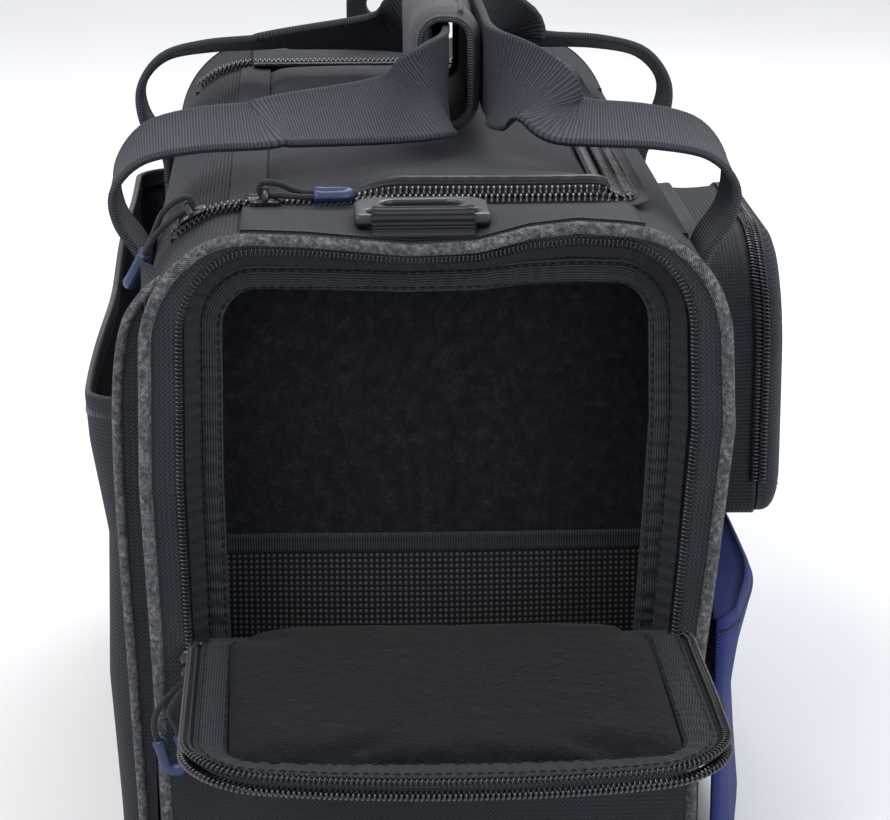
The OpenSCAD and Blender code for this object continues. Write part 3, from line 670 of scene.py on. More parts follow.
def stitches(name, line, up, rise, body, long=2.3, gap=1.1, r=0.28):
    """A run of short thread stitches along a line."""
    up = np.broadcast_to(np.asarray(up, float), np.shape(line))
    both = resample(np.concatenate([line, up * 0.001], 1), long + gap)
    line = both[:, :3]
    tangent, side, top = frames(line, both[:, 3:] * 1000)
    section = ring_section(r, 5)
    verts, faces, uv = [], [], []
    for p, t, s, n in zip(line, tangent, side, top):
        base = len(verts)
        for x, size, drop in ((-0.5, 0.5, -0.25), (-0.25, 1, 0), (0.25, 1, 0), (0.5, 0.5, -0.25)):
            centre = p + t * (x * long) + n * (rise + drop)
            verts += [centre + s * (a * size) + n * (b * size) for a, b in section]
            uv += [(x * long, 0)] * 5
        for i in range(3):
            faces += [(base + i * 5 + j, base + i * 5 + (j + 1) % 5, base + i * 5 + 5 + (j + 1) % 5,
                       base + i * 5 + 5 + j) for j in range(5)]
        faces += [tuple(base + j for j in range(4, -1, -1)), tuple(base + 15 + j for j in range(5))]
    make(name, verts, faces, EDGE, body, uv)


def end_name(word, mirror):
    return ("rear_" if mirror else "front_") + word


def flip(p, mirror):
    p = np.array(p, float)
    if mirror:
        p[..., 1] *= -1
    return p


# ---------------------------------------------------------------- end panels
def end_panel(mirror):
    """The outer nylon of one end, from the zip outwards and down below the hinge."""
    hole = arch(DOOR_HW + 0.35, HINGE_Z, H - 8, DOOR_R, 0, 2.5)
    hole = np.concatenate([hole, hole[:1]])
    rim = arch(HW, 0, H, TOP_R, 10, 1.0)
    rim = np.concatenate([rim, rim[:1]])
    edge = match(hole, rim, (0, 200))
    edge[0] = edge[-1] = (0, 0)
    t = np.linspace(0, 1, 30)[:, None, None]
    flat = hole[None] * (1 - t) + edge[None] * t
    x, z = flat[..., 0], flat[..., 1]
    low = np.clip((HINGE_Z - z) / 40, 0, 1)
    y = -HL - low * 2.2 * (0.6 + 0.5 * ripple(x / 18, z / 22, 5)) - 0.3 * ripple(x / 6, z / 7, 8)
    p = np.stack([x, y, z], 2)
    uv = flat.copy()
    piece = grid(end_name("panel", mirror), soft(p), NYLON, "bag", -1.3, uv, True, mirror)
    label(piece, "ballistic_nylon", end_name("pocket_face", mirror))


def pocket_inside(mirror):
    """Fleece walls, floor and back of an end pocket, as one dished sheet."""
    mouth = arch(DOOR_HW + 1.5, HINGE_Z - 1.5, H - 6.6, DOOR_R + 1.5, 1, 3.0)
    wall = arch(HW - 3.2, 4.2, H - 3.4, TOP_R - 3, 7, 1.0)
    wall = match(mouth, wall, (0, 200))
    rows = []
    for y, t in ((-213.3, 0.0), (-212.4, 0.3), (-211.8, 0.7), (-209.5, 0.96), (-204, 1.0), (-196, 1.0),
                 (-188, 1.0), (-180, 1.0), (-173, 0.995)):
        q = mouth * (1 - t) + wall * t
        rows.append(np.stack([q[:, 0], np.full(len(q), y), q[:, 1]], 1))
    for t in np.linspace(0, 1, 26):
        q = wall * (1 - 0.02 - 0.975 * t) + np.array([0, 150.0]) * (0.02 + 0.975 * t)
        y = -166.4 - 4.5 * np.exp(-t * 14)
        rows.append(np.stack([q[:, 0], np.full(len(q), y), q[:, 1]], 1))
    p = soft(np.array(rows))
    x, y, z = p[..., 0], p[..., 1], p[..., 2]
    back = np.clip((y + 190) / 20, 0, 1)
    p[..., 1] = y - back * (0.6 + 0.9 * ripple(x / 26, z / 30, 3))
    uv = np.stack([x, z + np.where(y < -172, y, -172)], 2)
    piece = grid(end_name("pocket_inside", mirror), p[:, ::-1], FLEECE, "bag", 0.0, uv[:, ::-1], True, mirror)
    label(piece, "fleece", end_name("pocket_lining", mirror))


def mesh_patch():
    """Dotted mesh sewn low on the back wall of the front pocket, with a bound top edge."""
    x = np.linspace(-84, 84, 57)
    z = np.linspace(30, 150, 31)
    xx, zz = np.meshgrid(x, z)
    y = -168.6 - 5.0 * np.sin(np.clip((zz - 30) / 120, 0, 1) * math.pi) * np.cos(xx / 84 * 1.45)
    y -= 1.2 * ripple(xx / 20, zz / 26, 12)
    p = np.stack([xx, y, zz], 2)
    piece = grid("front_mesh_patch", p, MESH, "bag", 0.7)
    top = p[-1]
    hem = sweep("front_mesh_hem", top + (0, -0.4, 0), strap_section(8, 1.2), (0, -1, 0), BINDING, "bag")


def hole_line(inset, y, step=2.0, low=None):
    """The zip line of an end, from low on the right over the top to low on the left, at a depth y."""
    low = HINGE_Z - 14 if low is None else low
    line = arch(DOOR_HW + 0.35 - inset, low, H - 8 - inset, DOOR_R - inset, 0, step, False)
    return soft(np.stack([line[:, 0], np.full(len(line), y), line[:, 1]], 1))


def end_zip(mirror):
    """Zip half on the body: coil and tape on the panel, and the turned tape and binding inside."""
    line = hole_line(0, -HL - 0.1)
    out = (0, -1, 0)
    outward = flip(out, mirror)
    body_coil = coil(end_name("coil_body", mirror), flip(line, mirror), outward, -1.5 if mirror else 1.5,
                     2.8, 1.7, 1.55, 0.42, "bag")
    flat = band_on(line, out, 0.3, 6.0, 0.25, 0.2, 4)[::-1]
    tape = grid(end_name("tape_body", mirror), flat, TAPE, "bag", -0.45, None, False, mirror)
    label(tape, "zip_coil", end_name("zip_fixed", mirror))
    rolled = band_on(hole_line(0.3, -HL + 9.0), out, 0, -6.0, 3.0, -3.4, 5)
    inner = grid(end_name("tape_turned", mirror), rolled, TAPE, "bag", -0.5, None, False, mirror)
    bind = band_on(hole_line(5.2, -HL + 12.6, 1.2), out, 0, -8.8, 0.2, 0.0, 8, 0.9, 3)
    binding = grid(end_name("binding", mirror), bind, BINDING, "bag", -1.2, None, False, mirror)
    for i, inset in enumerate((6.6, 12.6)):
        run = flip(hole_line(inset, -HL + 11.8), mirror)
        stitches(end_name("stitch_%d" % i, mirror), run, outward, 0.2, "bag")
    seam = flip(hole_line(-4.6, -HL - 0.6), mirror)
    stitches(end_name("stitch_tape", mirror), seam, outward, 0.15, "bag", 2.0, 0.9, 0.2)


def piping(mirror):
    """Heathered piping round the end, with its stitched flange."""
    line = arch(HW - 2.4, 2.4, H - 2.4, TOP_R - 2.4, 7.6, 2.5)
    p = np.stack([line[:, 0], np.full(len(line), -HL - 1.2), line[:, 1]], 1)
    p = soft(p)
    p[:, 1] -= 0.5 * ripple(p[:, 0] / 25, p[:, 2] / 25, 21)
    ends = np.concatenate([p, p[:1]])
    name = end_name("piping_cord", mirror)
    piece = sweep(name, flip(ends, mirror), ring_section(2.35, 12), (0, 1, 0), PIPING, "bag")
    label(piece, "piping_grey", end_name("piping", mirror))
    inner = arch(HW - 5.4, 5.4, H - 5.4, TOP_R - 5.4, 5, 2.5)
    q = soft(np.stack([inner[:, 0], np.full(len(inner), -HL - 0.1), inner[:, 1]], 1))
    outward = flip((0, -1, 0), mirror)
    stitches(end_name("stitch_piping", mirror), flip(q, mirror), outward, 0.25, "bag")


def side_piping():
    """The second piping, down the bulging front edge of the left side, and the cloth that carries it."""
    path = [(-98, -208.4, 265.6), (-106.5, -206.6, 258), (-113.0, -204.8, 247), (-116.4, -203.6, 228),
            (-117.4, -203.2, 200), (-116.6, -203.0, 165), (-115.2, -203.0, 130), (-113.6, -203.0, 90),
            (-112.0, -203.0, 50), (-110.6, -203.4, 18)]
    line = resample(smooth_line(path, 6), 2.0)
    piece = sweep("piping_side", line, ring_section(1.9, 10), (0, 1, 0), PIPING, "bag")
    t = np.linspace(0, 1, 7)[:, None, None]
    front = np.stack([np.maximum(line[:, 0], -HW + 1.2), line[:, 1] - 1.0, line[:, 2]], 1)
    back = np.stack([np.maximum(line[:, 0] - 0.4, -HW + 0.2), line[:, 1] + 24, line[:, 2]], 1)
    lip = grid("side_lip", line * t + front * (1 - t), SIDE_NYLON, "bag", 0.8)
    blend = np.sin(t * math.pi / 2)
    back[:, 0] = -HW - 0.2
    turn = line + (0, 0.6, 0) + (back - line) * np.concatenate([blend * blend, blend, blend], 2)
    lip = grid("side_lip_back", turn, SIDE_NYLON, "bag", 0.8)


# ---------------------------------------------------------------- doors
def narrow(z):
    """How far a door's side draws in at a height above its hinge."""
    return NARROW * (1 - np.clip((z - 12) / 8, 0, 1))


def edge_distance(x, z):
    """Distance from the open edge of a door, across its face."""
    w = DOOR_HW - narrow(z)
    qx = np.abs(x) - (w - DOOR_R)
    qz = z - (DOOR_LEN - DOOR_R)
    outside = np.sqrt(np.maximum(qx, 0) ** 2 + np.maximum(qz, 0) ** 2)
    return DOOR_R - (outside + np.minimum(np.maximum(qx, qz), 0))


def curl(x, z):
    """How far the door's rim stands up from its middle, towards the inside of the bag."""
    d = edge_distance(x, z)
    far = np.clip(z / 30, 0, 1)
    rim = far * np.clip(1 - d / 24, 0, 1) ** 1.5
    lift = 5.0 + 2.5 * (np.abs(x) / DOOR_HW) ** 2 + 0.8 * ripple(x / 24, z / 20, 33)
    sag = 4.5 * far * (z / DOOR_LEN) ** 3 * np.clip(1 - (x / DOOR_HW) ** 2, 0, 1)
    return lift * rim - sag + 0.8 * ripple(x / 30, z / 26, 31) * far


def door_grid(inset, z0, rows=38, cols=61):
    """Points over a door's face, drawn in by inset, as X and height above the hinge."""
    top = DOOR_LEN - inset
    s = np.linspace(0, 1, rows)
    z = z0 + (top - z0) * (1 - (1 - s) ** 1.5)
    r = max(DOOR_R - inset, 1)
    up = np.clip(z - (top - r), 0, r)
    w = DOOR_HW - inset - narrow(z) - r + np.sqrt(np.maximum(r * r - up * up, 0))
    u = np.linspace(-1, 1, cols)
    u = np.sign(u) * (1 - (1 - np.abs(u)) ** 1.25)
    return w[:, None] * u[None], np.broadcast_to(z[:, None], (rows, cols))


def on_door(x, z, depth, mirror):
    """From a closed door's face (X, height above the hinge, depth inwards) to the bag, at rest."""
    x, z, depth = np.broadcast_arrays(*[np.asarray(v, float) for v in (x, z, depth)])
    if mirror:
        return np.stack([x, HL - depth, HINGE_Z + z], -1)
    c, s = math.cos(DOOR_OPEN), math.sin(DOOR_OPEN)
    return np.stack([x, -HL + depth * c - z * s, HINGE_Z + depth * s + z * c], -1)


def rim_line(inset, low, step=1.6):
    """A line along the open edge of a door: X and height above the hinge, right foot to left foot."""
    w = DOOR_HW - inset
    r = max(DOOR_R - inset, 1)
    top = DOOR_LEN - inset
    line = [(w, low)] + arc(w - r, top - r, r, 0, 90, 21).tolist()
    line = resample(line + [(-x, z) for x, z in line[::-1]], step)
    line[:, 0] -= np.sign(line[:, 0]) * narrow(line[:, 1])
    return line


def door_band(name, a, b, rise_a, rise_b, material, mirror, rows=6, pucker=0.0, low=18.0):
    """A strip along the rim of a door, between two insets, standing on the door's inner face."""
    rows_in = []
    base = rim_line(a, low)
    s = np.concatenate([[0], np.cumsum(np.linalg.norm(np.diff(base, axis=0), axis=1))])
    for t in np.linspace(0, 1, rows):
        line = rim_line(a + (b - a) * t, low)
        line = resample(line, 1.0)
        at = np.linspace(0, 1, len(line))
        line = np.stack([np.interp(s / s[-1], at, line[:, k]) for k in (0, 1)], 1)
        wave = np.sin(s * 0.9 + 1.6 * np.sin(s * 0.23)) * 0.6 + np.sin(s * 2.0) * 0.3
        bulge = math.sin(math.pi * min(max(t, 0.05), 0.95))
        depth = curl(line[:, 0], line[:, 1]) + rise_a + (rise_b - rise_a) * t + pucker * (wave + 0.9) * bulge
        rows_in.append(on_door(line[:, 0], line[:, 1], depth, mirror))
    p = np.array(rows_in)
    if mirror:
        p = p[:, ::-1]
    piece = grid(name, p, material, end_name("door", mirror), 0.7)
    return piece


def door_outside(mirror):
    """The nylon face of a door."""
    x, z = door_grid(0.4, 0.0, 52, 73)
    puff = 2.0 * np.clip(edge_distance(x, z) / 30, 0, 1) * np.clip(z / 30, 0, 1)
    p = on_door(x, z, curl(x, z) - puff, mirror)
    if not mirror:
        p = p[:, ::-1]
    uv = np.stack([x, z + HINGE_Z], 2)
    if not mirror:
        uv = uv[:, ::-1]
    body = end_name("door", mirror)
    piece = grid(end_name("door_face", mirror), p, NYLON, body, 1.3, uv)
    label(piece, "ballistic_nylon", end_name("door_skin", mirror))


def door_zip(mirror):
    """Coil and tape along a door's rim, with the puckered binding inside them."""
    body = end_name("door", mirror)
    line = rim_line(1.5, 18)
    depth = curl(line[:, 0], line[:, 1])
    path = on_door(line[:, 0], line[:, 1], depth - 1.9, mirror)
    up = on_door(0, 0, -1, mirror) - on_door(0, 0, 0, mirror)
    tooth = coil(end_name("coil_door", mirror), path, tuple(up), 0.0, 4.2, 2.2, 1.75, 0.55, body)
    inside = on_door(line[:, 0], line[:, 1], depth + 1.2, mirror)
    back = coil(end_name("coil_door_back", mirror), inside, tuple(-up), 0.0, 3.0, 1.6, 1.75, 0.45, body, 1.5)
    tape = door_band(end_name("tape_door", mirror), 2.0, 9.0, 1.5, 1.8, TAPE, mirror)
    label(tape, "zip_coil", end_name("zip_door", mirror))
    binding = door_band(end_name("door_binding", mirror), 4.2, 15.5, 2.2, 4.4, BINDING, mirror, 11, 1.3)
    for i, inset in enumerate((6.0, 14.6)):
        q = rim_line(inset, 18)
        run = on_door(q[:, 0], q[:, 1], curl(q[:, 0], q[:, 1]) + 3.2 + 1.2 * i, mirror)
        stitches(end_name("door_stitch_%d" % i, mirror), run, tuple(-up), 0.5, body)


def planar(piece, u, v):
    """Lays the cloth directions straight across a piece."""
    mesh = piece.data
    co = np.zeros(len(mesh.vertices) * 3, np.float32)
    mesh.vertices.foreach_get("co", co)
    co = co.reshape(-1, 3)
    uv = np.stack([co @ np.array(u, np.float32), co @ np.array(v, np.float32)], 1)
    index = np.zeros(len(mesh.loops), np.int32)
    mesh.loops.foreach_get("vertex_index", index)
    layer = mesh.uv_layers.get("cloth") or mesh.uv_layers.new(name="cloth")
    layer.data.foreach_set("uv", uv[index].ravel())


def evaluated(piece):
    graph = bpy.context.evaluated_depsgraph_get()
    mesh = bpy.data.meshes.new_from_object(piece.evaluated_get(graph))
    piece.modifiers.clear()
    piece.data = mesh
    return mesh


def points_of(mesh):
    co = np.zeros(len(mesh.vertices) * 3, np.float32)
    mesh.vertices.foreach_get("co", co)
    return co.reshape(-1, 3)


def stuffed(name, shell, faces, material, body, cap, u, v, voxel=4.0, pressure=4.0):
    """A padded piece: a closed shell, blown up a little as cloth under pressure, then smoothed."""
    mesh = bpy.data.meshes.new(name)
    mesh.from_pydata((np.asarray(shell, float) * MM).tolist(), [], faces)
    mesh.validate()
    piece = bpy.data.objects.new(name, mesh)
    bpy.context.scene.collection.objects.link(piece)
    remesh = piece.modifiers.new("even", "REMESH")
    remesh.mode = "VOXEL"
    remesh.voxel_size = voxel * MM
    evaluated(piece)
    start = points_of(piece.data).copy()
    cloth = piece.modifiers.new("cloth", "CLOTH")
    cloth.settings.quality = 4
    cloth.settings.mass = 0.2
    cloth.settings.use_pressure = True
    cloth.settings.uniform_pressure_force = pressure
    cloth.settings.effector_weights.gravity = 0
    cloth.settings.tension_stiffness = 25
    cloth.settings.compression_stiffness = 25
    cloth.settings.bending_stiffness = 0.8
    cloth.collision_settings.use_collision = False
    for frame_number in range(1, 21):
        bpy.context.scene.frame_set(frame_number)
    swollen = points_of(evaluated(piece))
    bpy.context.scene.frame_set(1)
    move = swollen - start
    most = np.asarray(cap(start / MM), float) * MM
    length = np.maximum(np.linalg.norm(move, axis=1), 1e-9)
    move *= np.minimum(1, most / length)[:, None]
    piece.data.vertices.foreach_set("co", (start + move).astype(np.float32).ravel())
    smooth = piece.modifiers.new("smooth", "SMOOTH")
    smooth.iterations = 2
    finer = piece.modifiers.new("finer", "SUBSURF")
    finer.levels = 1
    finer.render_levels = 1
    evaluated(piece)
    piece.data.materials.clear()
    piece.data.materials.append(material)
    piece.data.polygons.foreach_set("use_smooth", [True] * len(piece.data.polygons))
    planar(piece, u, v)
    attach(piece, body)
    return piece


def slab_shell(top, bottom):
    """A closed shell between two grids of points with the same rows and columns."""
    m, n = top.shape[:2]
    k = m * n
    faces = quads(m, n) + quads(m, n, k, True)
    rim = [(0, j) for j in range(n)] + [(i, n - 1) for i in range(1, m)]
    rim += [(m - 1, j) for j in range(n - 2, -1, -1)] + [(i, 0) for i in range(m - 2, 0, -1)]
    ids = [i * n + j for i, j in rim]
    faces += [(b, a, a + k, b + k) for a, b in zip(ids, ids[1:] + ids[:1])]
    return np.concatenate([top.reshape(-1, 3), bottom.reshape(-1, 3)]), faces


def door_pad(mirror):
    """Fleece pad on the inside of a door."""
    x, z = door_grid(12.6, 6.0, 34, 49)
    base = curl(x, z)
    edge = np.clip((edge_distance(x, z) - 12.6) / 12, 0, 1) ** 0.6
    top = on_door(x, z, base + 4.6 + 2.6 * edge, mirror)
    bottom = on_door(x, z, base - 0.6, mirror)
    shell, faces = slab_shell(top, bottom)
    body = end_name("door", mirror)
    piece = stuffed(end_name("door_pad", mirror), shell, faces, LINING, body,
                    lambda p: np.full(len(p), 2.6), (1, 0, 0), (0, 0, 1) if mirror else (0, 1, 0), 3.2)
    label(piece, "fleece", end_name("door_lining", mirror))


def door_hinge_cloth(mirror):
    """Fabric that carries the door: it turns from the panel into the door at the hinge."""
    x = np.linspace(-DOOR_HW + NARROW + 1, DOOR_HW - NARROW - 1, 41)
    rows = []
    for s in np.linspace(-1, 1, 13):
        if s <= 0:
            y = np.full(len(x), -HL - 1.3)
            p = np.stack([x, y, np.full(len(x), HINGE_Z + s * 12 - 1)], 1)
            rows.append(flip(p, mirror))
        else:
            rows.append(on_door(x, np.full(len(x), s * 12.0), np.full(len(x), -1.3), mirror))
    p = np.array(rows)
    if mirror:
        p = p[:, ::-1]
    piece = grid(end_name("hinge_cloth", mirror), p, NYLON, None, 0)
    y = (HL if mirror else -HL) * MM
    if mirror:
        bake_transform(piece)
    else:
        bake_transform(piece)


# ---------------------------------------------------------------- body
def side_profile(side, edge):
    """The side of the bag as seen from the end, from the lid's edge over the corner and down under."""
    line = [(edge, H - 0.4)] + arc(HW - TOP_R, H - TOP_R, TOP_R - 0.4, 90, 0, 17).tolist()
    line += [(HW - 0.4, 150.0)] + arc(HW - 10, 10, 9.6, 0, -90, 9).tolist() + [(HW - 22, 0.5)]
    line = resample(line, 4.0)
    line[:, 0] *= side
    return line


def side_skin(side):
    """One long side of the bag: nylon that creases and bellies between the two ends."""
    edge = (LID_X1 if side > 0 else -LID_X0) + 0.8
    profile = side_profile(side, edge)
    y = np.linspace(-HL + 0.6, HL - 0.6, 120)
    p = np.zeros((len(y), len(profile), 3))
    p[..., 0] = profile[None, :, 0]
    p[..., 1] = y[:, None]
    p[..., 2] = profile[None, :, 1]
    inner = np.clip((HL - np.abs(p[..., 1])) / 30, 0, 1)
    away = np.clip((H - 8 - p[..., 2]) / 40, 0, 1)
    fold = ripple(p[..., 1] / 26, p[..., 2] / 34, 40 + side)
    fine = ripple(p[..., 1] / 11, p[..., 2] / 30, 50 + side)
    p[..., 0] += side * inner * away * (0.9 * fold + 0.35 * fine)
    shoulder = np.exp(-(((p[..., 2] - 262) / 16) ** 2))
    p[..., 2] -= inner * shoulder * 1.6 * (0.5 + 0.5 * fold)
    p = soft(p)
    if side > 0:
        p = p[:, ::-1]
    word = "right" if side > 0 else "left"
    piece = grid("side_" + word, p, SIDE_NYLON, "bag", 1.2)
    label(piece, "ballistic_nylon", "side_skin_" + word)


def deck(mirror):
    """The top between the main zip and an end, drawn taut to the strap tab."""
    x = np.linspace(-DECK_L, DECK_R, 61)
    y = np.linspace(-HL + 0.4, -ZIP_Y - 1.0, 26)
    xx, yy = np.meshgrid(x, y)
    t = (yy + HL) / (HL - ZIP_Y)
    crown = np.sin(math.pi * np.clip(t, 0, 1)) * (1.0 + 1.8 * np.clip(np.abs(xx) / 60, 0, 1))
    z = H - 0.3 + crown * 0.7 + 0.5 * ripple(xx / 16, yy / 14, 60) * np.sin(math.pi * t)
    p = soft(np.stack([xx, yy, z], 2))
    piece = grid(end_name("deck", mirror), p, LID_NYLON, "bag", 1.2, None, False, mirror)
    label(piece, "lid_nylon", "deck_" + ("rear" if mirror else "front"))


DECK_L = -LID_X0 + 0.6
DECK_R = LID_X1 + 0.6


def lid_height(x, y):
    """How far the padded lid stands above the zip."""
    u = np.clip((x - LID_X0) / (LID_X1 - LID_X0), 0, 1)
    v = np.clip((y + ZIP_Y) / (2 * ZIP_Y), 0, 1)
    crown = np.minimum(1, 3.0 * np.minimum(u, 1 - u)) ** 0.6
    crown = crown * np.minimum(1, 7.0 * np.minimum(v, 1 - v)) ** 0.6
    fold = ripple(x / 34, y / 30, 71)
    crease = np.exp(-(((x + 0.25 * y + 60) / 7) ** 2))
    return crown * (3.6 + 0.9 * fold + 1.0 * np.sin(math.pi * v) - 1.1 * crease)


def lid():
    """The padded lid: quilted nylon over foam, with its lining below."""
    x = np.linspace(LID_X0 + 1.2, LID_X1 - 4.2, 48)
    y = np.linspace(-ZIP_Y + 5.2, ZIP_Y - 5.2, 90)
    xx, yy = np.meshgrid(x, y)
    puff = 13.5 * lean(xx, 0 * yy - ZIP_Y) * np.exp(-(((yy + ZIP_Y) / 30) ** 2))
    top = np.stack([xx, yy, H - 0.6 + lid_height(xx, yy) * 0.8 + puff], 2)
    low = np.clip(np.minimum(np.minimum(xx - LID_X0, LID_X1 - xx), ZIP_Y - np.abs(yy)) / 12, 0.2, 1)
    bottom = np.stack([xx, yy, H - 1.4 - 4.0 * low], 2)
    shell, faces = slab_shell(top, bottom)

    def cap(p):
        d = np.minimum(np.minimum(p[:, 0] - LID_X0, LID_X1 - p[:, 0]), ZIP_Y - np.abs(p[:, 1]))
        return np.clip(d / 8, 0.1, 1) * 2.6

    piece = stuffed("lid_pad", shell, faces, LID_NYLON, "main_lid", cap, (1, 0, 0), (0, 1, 0), 3.6)
    label(piece, "lid_nylon", "main_lid_skin", "main_lid_lining")


def lean(x, y):
    """How far the front of the zip leans out, as the puffed lid pushes it up; none near the sliders."""
    front = np.clip((-y - ZIP_Y + 9) / 9, 0, 1)
    t = np.clip((x + 36) / 26, 0, 1) * np.clip((LID_X1 + 2 - x) / 14, 0, 1)
    return 0.52 * front * t * t * (3 - 2 * t)


def main_line(offset, left=0.0):
    """The main zip's line: front run, right run and rear run, with rounded corners."""
    y, x, r = ZIP_Y + offset, LID_X1 + 0.35 + offset, 7.0 + offset
    line = [(LID_X0 - left, -y)]
    line += [(x - r + r * math.sin(a), -y + r - r * math.cos(a)) for a in np.linspace(0, math.pi / 2, 9)]
    line += [(x - r + r * math.cos(a), y - r + r * math.sin(a)) for a in np.linspace(0, math.pi / 2, 9)]
    line += [(LID_X0 - left, y)]
    line = resample(line, 2.0)
    sag = 0.5 * ripple(line[:, 0] / 40, line[:, 1] / 40, 81)
    near = np.clip(1 - np.hypot(line[:, 0] + 62, line[:, 1] + 158) / 40, 0, 1)
    side = np.hypot(line[:, 0] - LID_X1, line[:, 1])
    keep = 1 - np.maximum(near, np.clip(1 - side / 60, 0, 1))
    raised = 4.6 * lean(line[:, 0], line[:, 1])
    return np.stack([line[:, 0], line[:, 1], H + 0.1 + sag * keep + raised], 1)


def main_zip():
    """Chunky double coil round three sides of the lid, each half on its own tape."""
    line = main_line(0)
    turn = lean(line[:, 0], line[:, 1])
    up = np.stack([0 * turn, -np.sin(turn), np.cos(turn)], 1)
    for name, offset, body, phase in (("main_coil_body", 2.3, "bag", 0.0),
                                      ("main_coil_lid", -2.3, "main_lid", math.pi)):
        c = coil(name, line, up, offset, 4.7, 2.6, 2.2, 0.7, body, phase)
    outer = band_on(line, up, 0.6, 9.5, 0.3, 0.5, 5)
    outer[..., 2] = np.maximum(outer[..., 2], H + 0.3)
    tape = grid("main_tape_body", outer[::-1], TAPE, "bag", 0.5)
    label(tape, "zip_coil", "main_zip_fixed")
    inner = band_on(line, up, -0.6, -9.0, 0.3, 0.9, 5)
    tape = grid("main_tape_lid", inner, TAPE, "main_lid", 0.5)
    label(tape, "zip_coil", "main_zip_lid")
    edge = band_on(line, up, -6.4, -10.4, 1.3, 1.8, 5, 0.2, 2)
    bind = grid("main_lid_binding", edge, EDGE, "main_lid", 0.6)
    for name, offset, rise, body in (("main_stitch_body", 8.0, 0.7, "bag"),
                                     ("main_stitch_lid", -5.6, 1.1, "main_lid")):
        _, side, _ = frames(line, up)
        stitches(name, line + side * offset, up, rise, body)
    a = np.radians(np.linspace(2, 43, 30))
    r = TOP_R + 0.2
    over = np.stack([LID_X0 - r * np.sin(a), np.full(30, -ZIP_Y - 0.1), H - TOP_R + r * np.cos(a)], 1)
    for mirror in (0, 1):
        path = flip(over, mirror)
        outward = np.stack([-np.sin(a), np.zeros(30), np.cos(a)], 1)
        for i, offset in enumerate((2.1, -2.1)):
            offset += 2.4 if mirror else -2.4
            name = end_name("corner_coil_%d" % i, mirror)
            c = coil(name, path, outward, offset, 4.3, 2.4, 2.1, 0.62, "bag", i * math.pi)


def lid_hinge():
    """Nylon across the left edge of the lid, where it folds."""
    y = np.linspace(-ZIP_Y + 3, ZIP_Y - 3, 90)
    x = np.linspace(LID_X0 - 6, LID_X0 + 8, 15)
    xx, yy = np.meshgrid(x, y)
    z = H + 0.25 + 0.5 * np.exp(-(((xx - LID_X0) / 3) ** 2)) + 0.2 * ripple(xx / 8, yy / 14, 90)
    z = np.minimum(z, H + 0.9)
    p = np.stack([xx, yy, z - 0.02 * np.clip(LID_X0 - xx, 0, 6) ** 1.4], 2)
    piece = grid("lid_hinge_cloth", p, LID_NYLON, None, 0)
    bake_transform(piece)


def bottom():
    """Bottom panel with its board line and seams."""
    x = np.linspace(-HW + 9, HW - 9, 40)
    y = np.linspace(-HL + 1.0, HL - 1.0, 70)
    xx, yy = np.meshgrid(x, y)
    edge = np.minimum(HW - 9 - np.abs(xx), HL - 1 - np.abs(yy))
    z = 0.5 + 0.5 * np.clip(1 - edge / 4, 0, 1) + 0.15 * (1 + ripple(xx / 30, yy / 30, 93))
    p = np.stack([xx, yy, z], 2)
    piece = grid("bottom_nylon", soft(p)[:, ::-1], SIDE_NYLON, "bag", 0.9)
    label(piece, "ballistic_nylon", "bottom_panel")


def inner_lining():
    """Lining of the main compartment, open at the top."""
    plan = arch(HW - 9.5, 6.0, H - 9, 30, 5, 5.0, True)
    keep = (np.abs(plan[:, 0]) > 66) | (plan[:, 1] < 200)
    start = int(np.argmax(~keep))
    count = int((~keep).sum())
    order = np.roll(np.arange(len(plan)), -(start + count))[: len(plan) - count]
    wall = plan[order]
    y = np.linspace(-ZIP_Y + 0.6, ZIP_Y - 0.6, 40)
    p = np.zeros((len(y), len(wall), 3))
    p[..., 0], p[..., 2] = wall[None, :, 0], wall[None, :, 1]
    p[..., 1] = y[:, None]
    sway = ripple(p[..., 1] / 40, p[..., 2] / 40, 95)
    p[..., 0] -= np.sign(p[..., 0]) * np.abs(0.8 * sway) * (p[..., 2] > 20)
    piece = grid("main_lining_tub", p, LINING, "bag", 0.8)
    label(piece, "lining_nylon", "main_lining")
    for mirror in (False, True):
        x = np.linspace(-HW + 10, HW - 10, 30)
        z = np.linspace(6, H - 12, 34)
        xx, zz = np.meshgrid(x, z)
        y = -ZIP_Y + 0.6 + 0.7 * np.abs(ripple(xx / 30, zz / 30, 96))
        p = np.stack([xx, y, zz], 2)
        piece = grid(end_name("lining_end", mirror), p, LINING, "bag", 0.8, None, False, mirror)


# ---------------------------------------------------------------- handles
GRIP_Z = H + 33
GRIP_L, GRIP_R = 11.0, 28.0
WRAP = 112.0


